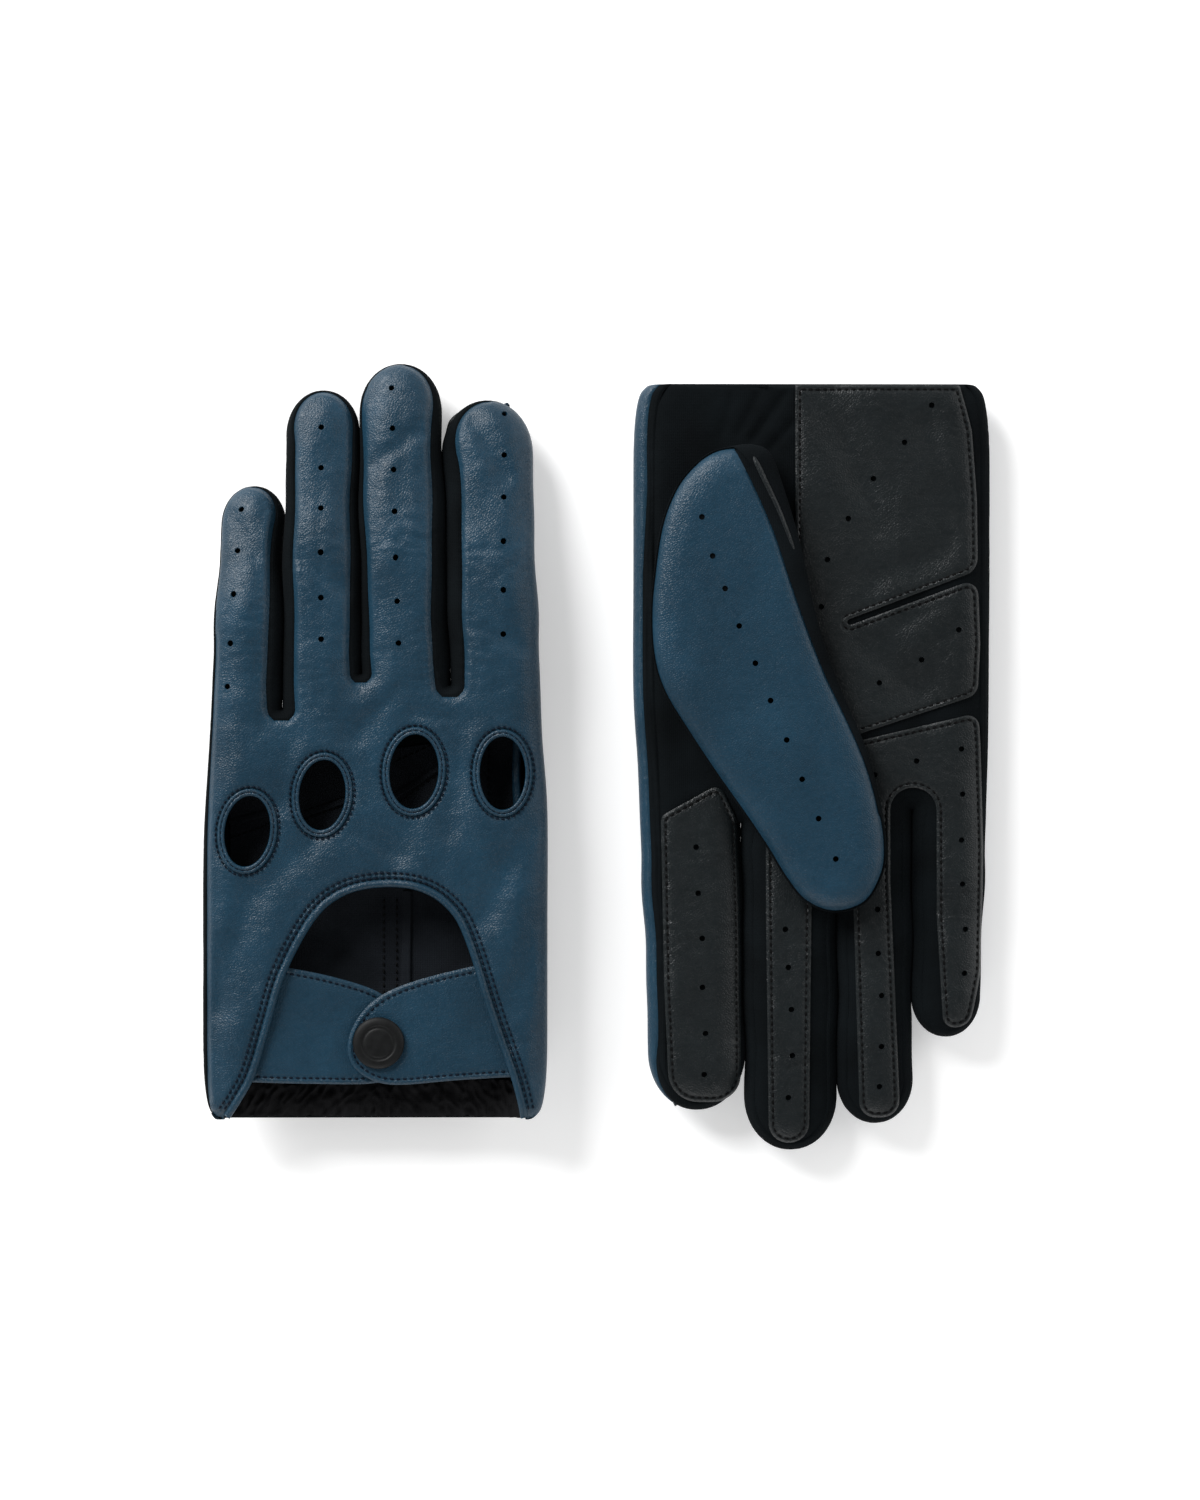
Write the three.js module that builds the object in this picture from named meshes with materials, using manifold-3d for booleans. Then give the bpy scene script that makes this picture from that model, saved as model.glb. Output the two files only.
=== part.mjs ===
// A pair of leather driving gloves laid flat, side by side. The left glove lies back up with its fingers
// towards +Y, the right glove lies palm up with its fingers towards -Y, and both thumbs are folded over the palm.
// Millimetres, +Z up, origin under the middle of the pair, on the surface that it lies on.
//
// Each glove is built in its own frame: +X towards the index finger, +Y towards the fingertips, +Z out of the
// back of the hand, z = 0 at the face of the palm patch and y = 0 at the wrist. The right glove is the same
// glove mirrored through that frame's origin.
import * as THREE from "three";
import { mergeVertices } from "three/addons/utils/BufferGeometryUtils.js";
import Module from "manifold-3d";

const wasm = await Module();
wasm.setup();

// ---- Driving dimensions ----
const GAP = 0.3; // left between neighbouring solids
const WALL = 1; // thickness of a side wall
const LEVEL = {
  patch: [0, 0.9], // leather palm patch
  palm: [1.2, 2], // stretch fabric palm
  elastic: [2.3, 3.3], // gathered elastic inside the wrist
  sides: [2.3, 12.7], // fourchettes and side gussets
  back: [13, 14], // leather back
  binding: [12.3, 14.6], // rolled binding of every cut edge
  sleeve: [0.3, 12.7], // fabric of a fingertip
  thumbInner: [-1.3, -0.3],
  thumbSides: [-6.9, -1.6],
  thumbOuter: [-8.2, -7.2],
  underTab: [9.5, 10.3],
  upperTab: [12.4, 13.3],
};
const THUMB_DEPTH = -LEVEL.thumbOuter[0];

// Across: finger centre at the web and near the tip. Wide: finger width there. Tip: y of the tip.
// Bend: y of the crease at the middle joint.
const LEFT = {
  side: "left",
  halfWidth: 51.5,
  wristHalf: 48.5,
  fingers: [
    { name: "index", across: [36.4, 33.6], wide: [26.4, 25.2], tip: 215, bend: 166 },
    { name: "middle", across: [9.4, 6], wide: [25.6, 22.4], tip: 226, bend: 172 },
    { name: "ring", across: [-15.9, -15.7], wide: [22.8, 20.4], tip: 218, bend: 168 },
    { name: "pinky", across: [-38.7, -37], wide: [20.8, 18], tip: 189, bend: 151 },
  ],
  webs: [[22.8, 126], [-4, 130.5], [-28, 119]],
};
const RIGHT = {
  side: "right",
  halfWidth: 53.6,
  wristHalf: 49,
  fingers: [
    { name: "index", across: [36.9, 35], wide: [30, 26.4], tip: 218, bend: 167 },
    { name: "middle", across: [6.9, 5.6], wide: [28, 24.4], tip: 230, bend: 174 },
    { name: "ring", across: [-18.8, -18.8], wide: [22, 20], tip: 222, bend: 170 },
    { name: "pinky", across: [-41.6, -40.9], wide: [22.2, 19], tip: 196, bend: 154 },
  ],
  webs: [[21.4, 128], [-7.4, 132], [-30.2, 124]],
};
const WEB_Y = 124; // where "across" and "wide" are measured at a finger's root
const BEND_GAP = 1.5; // from the crease line to the solids on either side
const TIP_ROUND = 1.15; // length of a tip's half ellipse over its half width

// Knuckle holes, index to pinky: centre, half width, half height and lean in degrees.
const KNUCKLES = [
  { at: [38.2, 103.5], half: [6.9, 11], lean: 0 },
  { at: [11.8, 104], half: [7.4, 11.2], lean: -4 },
  { at: [-15.5, 97], half: [7, 10.6], lean: -6 },
  { at: [-37.8, 86.2], half: [6.9, 10.7], lean: -8 },
];
const BINDING = 1; // width of the binding that lines a cut edge
const KEYHOLE = { middle: 1.5, top: 68.7, waist: 46, waistHalf: 27.5, wristHalf: 43 };

const SNAP = { at: [1.3, 23.2], cap: 7.7, socket: 5.5, flange: 4.5, head: 2.2, post: 1.2 };
const CAP_TOP = 15.4; // highest point of a glove, the top of its snap cap
const TAB_HOLE = 1.6;
const TAB_ROOT = [[28.6, 46], [40.4, 13.4]]; // line on which the upper tab hinges
const HINGE_LIFT = 14.7; // height of the strap's hinge line, just over the binding

const THUMB_HOLE = { at: [33, 62], half: [9, 22] };

// ---- Solids and booleans ----
function solidOf(geometry) {
  const bare = geometry.clone();
  bare.deleteAttribute("normal");
  bare.deleteAttribute("uv");
  const merged = mergeVertices(bare, 1e-4);
  return new wasm.Manifold(
    new wasm.Mesh({
      numProp: 3,
      vertProperties: merged.attributes.position.array,
      triVerts: new Uint32Array(merged.index.array),
    }),
  );
}

function geometryOf(solid) {
  const mesh = solid.getMesh();
  return new THREE.BufferGeometry()
    .setAttribute("position", new THREE.BufferAttribute(mesh.vertProperties, 3))
    .setIndex(new THREE.BufferAttribute(mesh.triVerts, 1))
    .toNonIndexed();
}

// A flat outline, a THREE.Shape or a list of points, thickened between two heights.
function slab(outline, [low, high], curveSegments = 10) {
  const shape = outline instanceof THREE.Shape
    ? outline
    : new THREE.Shape(outline.map(([x, y]) => new THREE.Vector2(x, y)));
  const geometry = new THREE.ExtrudeGeometry(shape, {
    depth: high - low,
    bevelEnabled: false,
    curveSegments,
  });
  return solidOf(geometry.translate(0, 0, low));
}

function ellipse([x, y], [halfX, halfY], lean = 0, count = 20) {
  return Array.from({ length: count }, (_, i) => {
    const a = (2 * Math.PI * i) / count;
    const t = THREE.MathUtils.degToRad(lean);
    const [u, v] = [halfX * Math.cos(a), halfY * Math.sin(a)];
    return [x + u * Math.cos(t) - v * Math.sin(t), y + u * Math.sin(t) + v * Math.cos(t)];
  });
}

const grown = ([low, high], by) => [low - by, high + by];
const box = ([x0, y0], [x1, y1], heights) =>
  slab([[x0, y0], [x1, y0], [x1, y1], [x0, y1]], heights);

// ---- Materials ----
const leather = (color) =>
  new THREE.MeshStandardMaterial({ color, roughness: 0.55, metalness: 0 });
const MATERIALS = {
  blue: leather(0x24405a),
  black: leather(0x191b1c),
  fabric: new THREE.MeshStandardMaterial({ color: 0x0b0c0f, roughness: 0.9, metalness: 0 }),
  elastic: new THREE.MeshStandardMaterial({ color: 0x0e0f11, roughness: 0.95, metalness: 0 }),
  cap: new THREE.MeshStandardMaterial({ color: 0x1a1b1b, roughness: 0.5, metalness: 0.6 }),
  metal: new THREE.MeshStandardMaterial({ color: 0x2c2c2c, roughness: 0.4, metalness: 0.9 }),
};

function mesh(name, solid, material) {
  const made = new THREE.Mesh(geometryOf(solid), MATERIALS[material]);
  made.geometry.computeVertexNormals();
  made.name = name;
  return made;
}

// ---- Outlines ----
function fingerAt(finger, y) {
  const t = (y - WEB_Y) / (finger.tip - WEB_Y);
  return {
    x: THREE.MathUtils.lerp(...finger.across, t),
    half: THREE.MathUtils.lerp(...finger.wide, t) / 2,
  };
}

// A straight stretch of a finger, from y0 to y1, taken in by inset on both sides.
function fingerStretch(finger, y0, y1, inset) {
  const [a, b] = [fingerAt(finger, y0), fingerAt(finger, y1)];
  return [
    [a.x - a.half + inset, y0],
    [a.x + a.half - inset, y0],
    [b.x + b.half - inset, y1],
    [b.x - b.half + inset, y1],
  ];
}

// A finger's outline from y0 round its tip.
function fingerOutline(finger, y0, inset) {
  const end = fingerAt(finger, finger.tip);
  const shoulder = finger.tip - end.half * TIP_ROUND;
  const [a, b] = [fingerAt(finger, y0), fingerAt(finger, shoulder)];
  const shape = new THREE.Shape().moveTo(a.x - a.half + inset, y0);
  shape.lineTo(a.x + a.half - inset, y0);
  shape.lineTo(b.x + b.half - inset, shoulder);
  shape.absellipse(b.x, shoulder, b.half - inset, finger.tip - shoulder - inset, 0, Math.PI);
  shape.closePath();
  return shape;
}

// The palm of the hand, from the wrist up to a line through the webs.
function handOutline(glove, inset, wristY = 0) {
  const { halfWidth: w, wristHalf: e, webs } = glove;
  const [index, , , pinky] = glove.fingers;
  const outer = fingerAt(index, WEB_Y);
  const little = fingerAt(pinky, WEB_Y);
  const shape = new THREE.Shape().moveTo(-e + inset, wristY);
  shape.lineTo(e - inset, wristY);
  shape.quadraticCurveTo(w - inset, 4, w - inset, 22);
  shape.lineTo(w - inset, 92);
  shape.lineTo(outer.x + outer.half - inset, 124 - inset);
  for (const [x, y] of webs) shape.lineTo(x, y - inset);
  shape.lineTo(little.x - little.half + inset, 112 - inset);
  shape.lineTo(-w + inset, 86);
  shape.lineTo(-w + inset, 22);
  shape.quadraticCurveTo(-w + inset, 4, -e + inset, wristY);
  return shape;
}

// The hand with its four finger roots, up to the creases.
function handSolid(glove, heights, inset = 0) {
  const open = inset ? 3 : 0; // an inset hand runs past its ends, so that it cuts them open
  const roots = glove.fingers.map((f) =>
    slab(fingerStretch(f, 100, f.bend - BEND_GAP + open, inset), heights),
  );
  return roots.reduce((all, root) => all.add(root), slab(handOutline(glove, inset, -open), heights));
}

// The bell-shaped cut-out over the wrist, run a little past the wrist so that it cuts its edge open.
function keyholeOutline(outset) {
  const { middle, top, waist, waistHalf, wristHalf } = KEYHOLE;
  const shape = new THREE.Shape().moveTo(middle - wristHalf - outset, -2);
  shape.lineTo(middle + wristHalf + outset, -2);
  shape.lineTo(middle + waistHalf + outset, waist);
  shape.absellipse(middle, waist, waistHalf + outset, top - waist + outset, 0, Math.PI);
  shape.closePath();
  return shape;
}

const thumbCurve = new THREE.SplineCurve(
  [
    [23, 21.3], [34.5, 25.2], [42, 35], [46.5, 50], [48, 66], [46.8, 83], [42, 96], [32, 111],
    [22, 126], [13, 141], [4.5, 152], [-7, 157], [-17.5, 153], [-21.6, 144], [-19.8, 131],
    [-11.4, 107], [-2.4, 80], [6.6, 56], [15.6, 35], [19.6, 25],
  ].map(([x, y]) => new THREE.Vector2(x, y)),
);

function thumbOutline(inset) {
  const points = thumbCurve.getPoints(52);
  return points.map((p, i) => {
    const along = points[(i + 1) % points.length].clone().sub(points.at(i - 1)).normalize();
    return [p.x - along.y * inset, p.y + along.x * inset];
  });
}

// ---- Parts of the hand ----
function backPanel(glove) {
  const [low, high] = grown(LEVEL.back, 1);
  let panel = handSolid(glove, LEVEL.back);
  panel = panel.subtract(slab(keyholeOutline(BINDING + GAP), [low, high]));
  for (const k of KNUCKLES) {
    const half = k.half.map((h) => h + BINDING + GAP);
    panel = panel.subtract(slab(ellipse(k.at, half, k.lean), [low, high]));
  }
  return mesh(`${glove.side}_back_panel`, panel, "blue");
}

function knuckleBindings(glove) {
  return KNUCKLES.map((k, i) => {
    const outer = k.half.map((h) => h + BINDING);
    const ring = slab(ellipse(k.at, outer, k.lean), LEVEL.binding).subtract(
      slab(ellipse(k.at, k.half, k.lean), grown(LEVEL.binding, 1)),
    );
    return mesh(`${glove.side}_knuckle_binding_${glove.fingers[i].name}`, ring, "blue");
  });
}

function keyholeBinding(glove) {
  const strip = slab(keyholeOutline(BINDING), LEVEL.binding)
    .subtract(slab(keyholeOutline(0), grown(LEVEL.binding, 1)))
    .intersect(box([-80, 0.5], [80, 80], grown(LEVEL.binding, 1)));
  return mesh(`${glove.side}_keyhole_binding`, strip, "blue");
}

function palmPanel(glove) {
  const hole = slab(ellipse(THUMB_HOLE.at, THUMB_HOLE.half), grown(LEVEL.palm, 1));
  return mesh(`${glove.side}_palm_panel`, handSolid(glove, LEVEL.palm).subtract(hole), "fabric");
}

// Leather patch on the palm, running up three fingers, with two stitched slits from the little finger's edge.
function palmPatch(glove) {
  const edge = glove.halfWidth - 4.5;
  const inset = 3.4;
  let patch = slab(
    [[5, 1], [5, 62], [12, 112], [-edge, 112], [-edge, 60], [-edge, 20], [-edge + 1.5, 1]],
    LEVEL.patch,
  );
  for (const finger of glove.fingers.slice(1)) {
    patch = patch.add(slab(fingerStretch(finger, 104, finger.bend - BEND_GAP, inset), LEVEL.patch));
  }
  const slits = [
    [[-60, 66], [-11.5, 73.5], [-11.5, 69.5], [-60, 55]],
    [[-60, 101], [-2, 110], [-2, 107], [-60, 92]],
  ];
  for (const slit of slits) patch = patch.subtract(slab(slit, grown(LEVEL.patch, 1)));
  return mesh(`${glove.side}_palm_patch`, patch, "black");
}

// The side walls: two outer gussets, and a fourchette round each gap between two fingers.
function sideWalls(glove) {
  const walls = handSolid(glove, LEVEL.sides).subtract(
    handSolid(glove, grown(LEVEL.sides, 1), WALL),
  );
  const span = glove.halfWidth + 5;
  const [index, middle, ring, pinky] = glove.fingers.map((f) => f.across[0]);
  const sections = [
    ["index_side_gusset", index, span, -1],
    ["fourchette_index_middle", middle, index, 90],
    ["fourchette_middle_ring", ring, middle, 90],
    ["fourchette_ring_pinky", pinky, ring, 90],
    ["pinky_side_gusset", -span, pinky, -1],
  ];
  return sections.map(([name, x0, x1, y0]) => {
    const part = walls.intersect(box([x0 + GAP / 2, y0], [x1 - GAP / 2, 260], grown(LEVEL.sides, 1)));
    return mesh(`${glove.side}_${name}`, part, "fabric");
  });
}

function wristElastic(glove) {
  const half = glove.wristHalf - WALL - 3;
  return mesh(`${glove.side}_wrist_elastic`, box([-half, 0.5], [half, 9.5], LEVEL.elastic), "elastic");
}

// ---- Strap and snap ----
function underTab(glove) {
  const shape = new THREE.Shape().moveTo(-40, 11.6);
  shape.lineTo(4, 11.4);
  shape.quadraticCurveTo(11.5, 14, 11.5, 23.5);
  shape.quadraticCurveTo(11.5, 33, 3, 37.5);
  shape.quadraticCurveTo(-12, 43.5, -33, 46.5);
  shape.closePath();
  const hole = slab(ellipse(SNAP.at, [TAB_HOLE, TAB_HOLE], 0, 12), grown(LEVEL.underTab, 1));
  return mesh(`${glove.side}_strap_under_tab`, slab(shape, LEVEL.underTab).subtract(hole), "blue");
}

function upperTab(glove) {
  const [[topX, topY], [lowX, lowY]] = TAB_ROOT;
  const shape = new THREE.Shape().moveTo(lowX - 1, lowY);
  shape.lineTo(topX - 1, topY);
  shape.quadraticCurveTo(12, 42.5, 1.5, 37.2);
  shape.quadraticCurveTo(-7.2, 32, -7.4, 22.5);
  shape.quadraticCurveTo(-7, 11.5, 6, 10.9);
  shape.closePath();
  const hole = slab(ellipse(SNAP.at, [TAB_HOLE, TAB_HOLE], 0, 12), grown(LEVEL.upperTab, 1));
  return mesh(`${glove.side}_strap_upper_tab`, slab(shape, LEVEL.upperTab).subtract(hole), "blue");
}

function turned(name, profile, segments, material) {
  const geometry = new THREE.LatheGeometry(
    profile.map(([r, z]) => new THREE.Vector2(r, z)),
    segments,
  ).rotateX(Math.PI / 2);
  return mesh(name, solidOf(geometry).translate([...SNAP.at, 0]), material);
}

function snapCap(glove) {
  const profile = [
    [0, 12.2], [SNAP.post, 12.2], [SNAP.post, 13.6], [SNAP.cap, 13.6], [SNAP.cap, 14.4],
    [SNAP.cap - 0.9, 15.1], [4, CAP_TOP], [0, CAP_TOP],
  ];
  return turned(`${glove.side}_snap_cap`, profile, 28, "cap");
}

function snapSocket(glove) {
  const bore = SNAP.head + 0.4;
  const profile = [[bore, 11.2], [SNAP.socket, 11.2], [SNAP.socket, 12.1], [bore, 12.1], [bore, 11.2]];
  return turned(`${glove.side}_snap_socket`, profile, 24, "metal");
}

function snapStud(glove) {
  const profile = [
    [0, 8.5], [SNAP.flange, 8.5], [SNAP.flange, 9.2], [SNAP.post, 9.2], [SNAP.post, 10.6],
    [SNAP.flange, 10.6], [SNAP.flange, 10.9], [SNAP.head, 10.9], [SNAP.head, 11.9], [0, 11.9],
  ];
  return turned(`${glove.side}_snap_stud`, profile, 20, "metal");
}

// ---- Groups that move ----
// A group whose origin is a point of the glove's frame, holding meshes that were made in that frame.
function movingGroup(name, [x, y, z], meshes) {
  const group = new THREE.Group();
  group.name = name;
  group.position.set(x, y, z);
  for (const m of meshes) m.position.set(-x, -y, -z);
  group.add(...meshes);
  return group;
}

function fingertip(glove, finger) {
  const start = finger.bend + BEND_GAP;
  const outer = slab(fingerOutline(finger, start, 0), LEVEL.sleeve);
  const inner = slab(fingerOutline(finger, start - 5, WALL), [LEVEL.sleeve[0] + 0.8, 20]);
  const sleeve = mesh(`${glove.side}_${finger.name}_tip_sleeve`, outer.subtract(inner), "fabric");
  const back = mesh(
    `${glove.side}_${finger.name}_tip_back`,
    slab(fingerOutline(finger, start, 0), LEVEL.back),
    "blue",
  );
  const group = movingGroup(
    `${glove.side}_${finger.name}_tip`,
    [fingerAt(finger, finger.bend).x, finger.bend, 0],
    [sleeve, back],
  );
  // The left glove lies on its thumb, so its fingertips droop from the creases down to the surface.
  const droop = glove.side === "left" ? Math.asin(THUMB_DEPTH / (finger.tip - finger.bend)) : 0;
  group.rotation.x = -droop;
  return group;
}

function thumb(glove) {
  const hole = slab(ellipse(THUMB_HOLE.at, THUMB_HOLE.half), grown(LEVEL.thumbInner, 1));
  const inner = slab(thumbOutline(0), LEVEL.thumbInner).subtract(hole);
  const sides = slab(thumbOutline(0), LEVEL.thumbSides).subtract(
    slab(thumbOutline(WALL), grown(LEVEL.thumbSides, 1)),
  );
  const outer = slab(thumbOutline(0), LEVEL.thumbOuter);
  return movingGroup(
    `${glove.side}_thumb`,
    [glove.halfWidth + 0.5, 62, -0.2],
    [
      mesh(`${glove.side}_thumb_inner`, inner, "fabric"),
      mesh(`${glove.side}_thumb_side_gusset`, sides, "fabric"),
      mesh(`${glove.side}_thumb_outer`, outer, "blue"),
    ],
  );
}

function strap(glove) {
  const [[topX, topY], [lowX, lowY]] = TAB_ROOT;
  return movingGroup(
    `${glove.side}_strap`,
    [(topX + lowX) / 2, (topY + lowY) / 2, HINGE_LIFT],
    [upperTab(glove), snapCap(glove), snapSocket(glove)],
  );
}

function makeGlove(glove) {
  const group = new THREE.Group();
  group.name = `${glove.side}_glove`;
  group.add(
    backPanel(glove),
    ...knuckleBindings(glove),
    keyholeBinding(glove),
    palmPanel(glove),
    palmPatch(glove),
    ...sideWalls(glove),
    wristElastic(glove),
    underTab(glove),
    snapStud(glove),
    strap(glove),
    thumb(glove),
    ...glove.fingers.map((finger) => fingertip(glove, finger)),
  );
  return group;
}

// ---- The pair ----
const SPACING = { x: [-66.6, 64.2], y: [-108, 112.2] }; // wrist middle of the left and of the right glove
const leftGlove = makeGlove(LEFT);
leftGlove.position.set(SPACING.x[0], SPACING.y[0], THUMB_DEPTH);
const rightGlove = makeGlove(RIGHT);
rightGlove.position.set(SPACING.x[1], SPACING.y[1], CAP_TOP);
rightGlove.rotation.z = Math.PI;
rightGlove.scale.z = -1;

const pair = new THREE.Group();
pair.name = "driving_gloves";
pair.add(leftGlove, rightGlove);

// The origin goes under the middle of the pair's box.
const bounds = new THREE.Box3().setFromObject(pair, true);
const middle = bounds.getCenter(new THREE.Vector3());
for (const glove of [leftGlove, rightGlove]) {
  glove.position.x -= middle.x;
  glove.position.y -= middle.y;
  glove.position.z -= bounds.min.z;
}
pair.updateMatrixWorld(true);

export default pair;
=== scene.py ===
"""A pair of leather driving gloves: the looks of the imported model, built around its frame.

Each glove is drawn in its own frame, in millimetres: +X towards the index finger, +Y towards the fingertips,
+Z out of the back of the hand, with z = 0 about at the palm's face and y = 0 at the wrist. The right glove is the
same glove turned through its frame's origin, so that it lies palm up.
"""
import math

import bpy
import numpy as np
from bpy.props import FloatProperty, FloatVectorProperty, PointerProperty
from bpy.types import Operator, Panel, PropertyGroup
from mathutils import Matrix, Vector, noise
from mathutils.geometry import delaunay_2d_cdt
from mathutils.kdtree import KDTree


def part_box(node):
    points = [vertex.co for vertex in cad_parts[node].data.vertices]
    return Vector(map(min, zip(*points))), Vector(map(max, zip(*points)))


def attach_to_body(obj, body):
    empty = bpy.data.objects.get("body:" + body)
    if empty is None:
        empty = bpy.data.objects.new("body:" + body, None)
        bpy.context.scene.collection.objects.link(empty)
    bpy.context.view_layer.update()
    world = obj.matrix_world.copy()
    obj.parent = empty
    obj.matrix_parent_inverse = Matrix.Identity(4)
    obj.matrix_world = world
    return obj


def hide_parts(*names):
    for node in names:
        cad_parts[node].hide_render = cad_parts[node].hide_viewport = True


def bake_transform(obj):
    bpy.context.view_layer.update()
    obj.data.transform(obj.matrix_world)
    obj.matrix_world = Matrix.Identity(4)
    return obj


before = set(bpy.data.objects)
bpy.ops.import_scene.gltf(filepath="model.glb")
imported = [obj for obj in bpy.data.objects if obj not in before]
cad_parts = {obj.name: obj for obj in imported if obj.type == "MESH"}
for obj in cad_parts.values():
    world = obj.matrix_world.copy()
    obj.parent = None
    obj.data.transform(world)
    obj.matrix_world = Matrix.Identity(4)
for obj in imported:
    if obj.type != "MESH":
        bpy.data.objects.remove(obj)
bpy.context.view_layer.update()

bl_info = {
    "name": "Driving gloves",
    "version": (1, 0, 0),
    "blender": (4, 5, 0),
    "location": "View3D > Sidebar > Gloves",
    "description": "Builds a pair of leather driving gloves around the packed frame",
    "category": "Object",
}

# ---- The pattern, in millimetres ----
MIDDLE = 7.3  # height of a glove's middle plane
FACE_RISE = {1: 6.8, -1: 5.9}  # how far the back and the palm stand from it
ROLL = 10.5  # how far in from an edge its rounding reaches
WEB_Y = 124.0  # where "across" and "wide" are measured at a finger's root
TIP_ROUND = 1.36  # length of a tip's half ellipse over its half width
WEB_DEPTH = (3.9, 3.0, 4.1)  # how far past each web's leather edge its fabric is folded
BEND_REACH = 12.0  # half the length of finger that takes part in a bend

FINGERS = ("index", "middle", "ring", "pinky")
GLOVES = {
    "left": {
        "half_width": 51.5,
        "wrist_half": 48.5,
        "fingers": {
            "index": {"across": (36.4, 33.6), "wide": (26.4, 25.2), "tip": 215, "bend": 166},
            "middle": {"across": (9.4, 6.0), "wide": (25.6, 22.4), "tip": 226, "bend": 172},
            "ring": {"across": (-15.9, -15.7), "wide": (22.8, 20.4), "tip": 218, "bend": 168},
            "pinky": {"across": (-38.7, -37.0), "wide": (20.8, 18.0), "tip": 189, "bend": 151},
        },
        "webs": (119, 130.5, 126),
    },
    "right": {
        "half_width": 53.6,
        "wrist_half": 49.0,
        "fingers": {
            "index": {"across": (36.9, 35.0), "wide": (30.0, 26.4), "tip": 218, "bend": 167},
            "middle": {"across": (6.9, 5.6), "wide": (28.0, 24.4), "tip": 230, "bend": 174},
            "ring": {"across": (-18.8, -18.8), "wide": (22.0, 20.0), "tip": 222, "bend": 170},
            "pinky": {"across": (-41.6, -40.9), "wide": (22.2, 19.0), "tip": 196, "bend": 154},
        },
        "webs": (124, 132, 128),
    },
}
THUMB_DEPTH = 8.2  # height of the folded thumb under the left glove

# Seams, as insets from a glove's edge line: above zero on the back, below zero on the palm side.
BACK_SEAM = {
    "wrist_pinky": 0.3, "side_pinky": 1.4, "root_pinky": 0.9,
    "pinky_left": (0.9, 0.3), "pinky_tip": 0.7, "pinky_right": (4.6, 3.4), "web_pinky": 4.1,
    "ring_left": (3.7, 3.0), "ring_tip": 0.9, "ring_right": (3.4, 2.2), "web_ring": 3.2,
    "middle_left": (2.9, 0.9), "middle_tip": 0.6, "middle_right": (5.0, 2.9), "web_middle": 4.3,
    "index_left": (4.5, 5.2), "index_tip": 0.9, "index_right": (-3.0, -3.2),
    "root_index": -3.0, "side_index": -2.8, "low_index": -4.2, "wrist_index": -3.6,
}
PALM_SEAM = {
    "wrist_pinky": 3.0, "side_pinky": 3.0, "root_pinky": 3.0,
    "pinky_left": 3.0, "pinky_tip": 2.6, "pinky_right": 3.2, "web_pinky": 4.4,
    "ring_left": 3.2, "ring_tip": 2.6, "ring_right": 3.2, "web_ring": 4.4,
    "middle_left": 3.2, "middle_tip": 2.6, "middle_right": 3.2, "web_middle": 4.4,
    "index_left": 3.2, "index_tip": 2.6, "index_right": 6.4,
    "root_index": 6.4, "side_index": 6.4, "low_index": 6.4, "wrist_index": 6.4,
}
WRAP = 0.8  # inset past which the leather turns round an edge

KEYHOLE = [
    (-43.6, 0), (-39.6, 6), (-35.4, 14), (-30.9, 29), (-26.3, 44), (-17.5, 60), (-8.7, 67.2), (2.5, 69.6),
    (13.6, 68.4), (21.8, 63), (27, 54), (34.4, 31), (40.2, 14.5), (42.6, 6), (43.7, 0),
]
KNUCKLES = {
    "index": {"at": (38.2, 103.5), "half": (6.9, 11.0), "lean": 0},
    "middle": {"at": (11.8, 104.0), "half": (7.4, 11.2), "lean": -4},
    "ring": {"at": (-15.5, 97.0), "half": (7.0, 10.6), "lean": -6},
    "pinky": {"at": (-37.8, 86.2), "half": (6.9, 10.7), "lean": -8},
}
HOLE_RADIUS = 0.88
# Rows of air holes along the backs of the fingers: first hole, last hole, how many.
BACK_HOLES = {
    "index": ((38.4, 144.9), (38.6, 209.7), 6),
    "middle": ((7.2, 142.2), (4.8, 217.2), 7),
    "ring": ((-15.8, 143.4), (-16.2, 205.2), 6),
    "pinky": ((-43.8, 129.3), (-40.2, 180.3), 5),
}
# Folds of the palm side: from, to, depth, half width.
PALM_PUCKERS = [((18, 17), (8, 3), 1.0, 1.3), ((22, 15), (15, 1), 0.7, 1.1), ((13, 20), (6, 12), 0.9, 1.1),
                ((27, 15), (24, 4), 0.5, 1.3), ((-6, 4), (-20, 42), 1.3, 6), ((-35, 14), (-41, 44), 0.9, 5),
                ((-20, 58), (-40, 50), 0.8, 4), ((-15, 78), (-32, 92), 0.7, 4), ((-38, 66), (-26, 72), 0.5, 3)]
# Soft folds of the back, in the same way.
BACK_CREASES = [
    ((-34, 68), (-18, 84), 1.1, 4.5), ((32, 60), (45, 86), 1.1, 4.5), ((-47, 34), (-38, 70), 1.2, 5),
    ((-3, 86), (7, 79), 0.8, 3.5), ((22, 86), (27, 118), 0.9, 4.2), ((-27, 94), (-25, 114), 0.8, 3.6),
    ((-6, 114), (5, 127), 0.9, 3.4), ((12, 121), (22, 120), 0.7, 2.6), ((40, 24), (48, 58), 1.0, 5),
    ((-22, 167), (-9, 158), 0.9, 2.8), ((-2, 193), (13, 204), 0.8, 2.8), ((29, 208), (39, 190), 1.0, 2.8),
    ((-45, 180), (-36, 166), 0.8, 2.8), ((26, 149), (46, 140), 0.5, 2.6), ((-34, 118), (-48, 122), 0.5, 3),
]
EDGE_FLOOR = 0.05  # nothing reaches past this height at the wrist
# Thicknesses of the sheets.
THICK = {"leather": 0.85, "jersey": 0.8, "thumb leather": 0.8, "thumb jersey": 0.6, "joining jersey": 0.5,
         "strap": 0.95, "elastic": 0.5, "lining": 0.3, "lining seam": 0.4, "turned edge": 0.6}
SIDES = ("left", "right")



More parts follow.
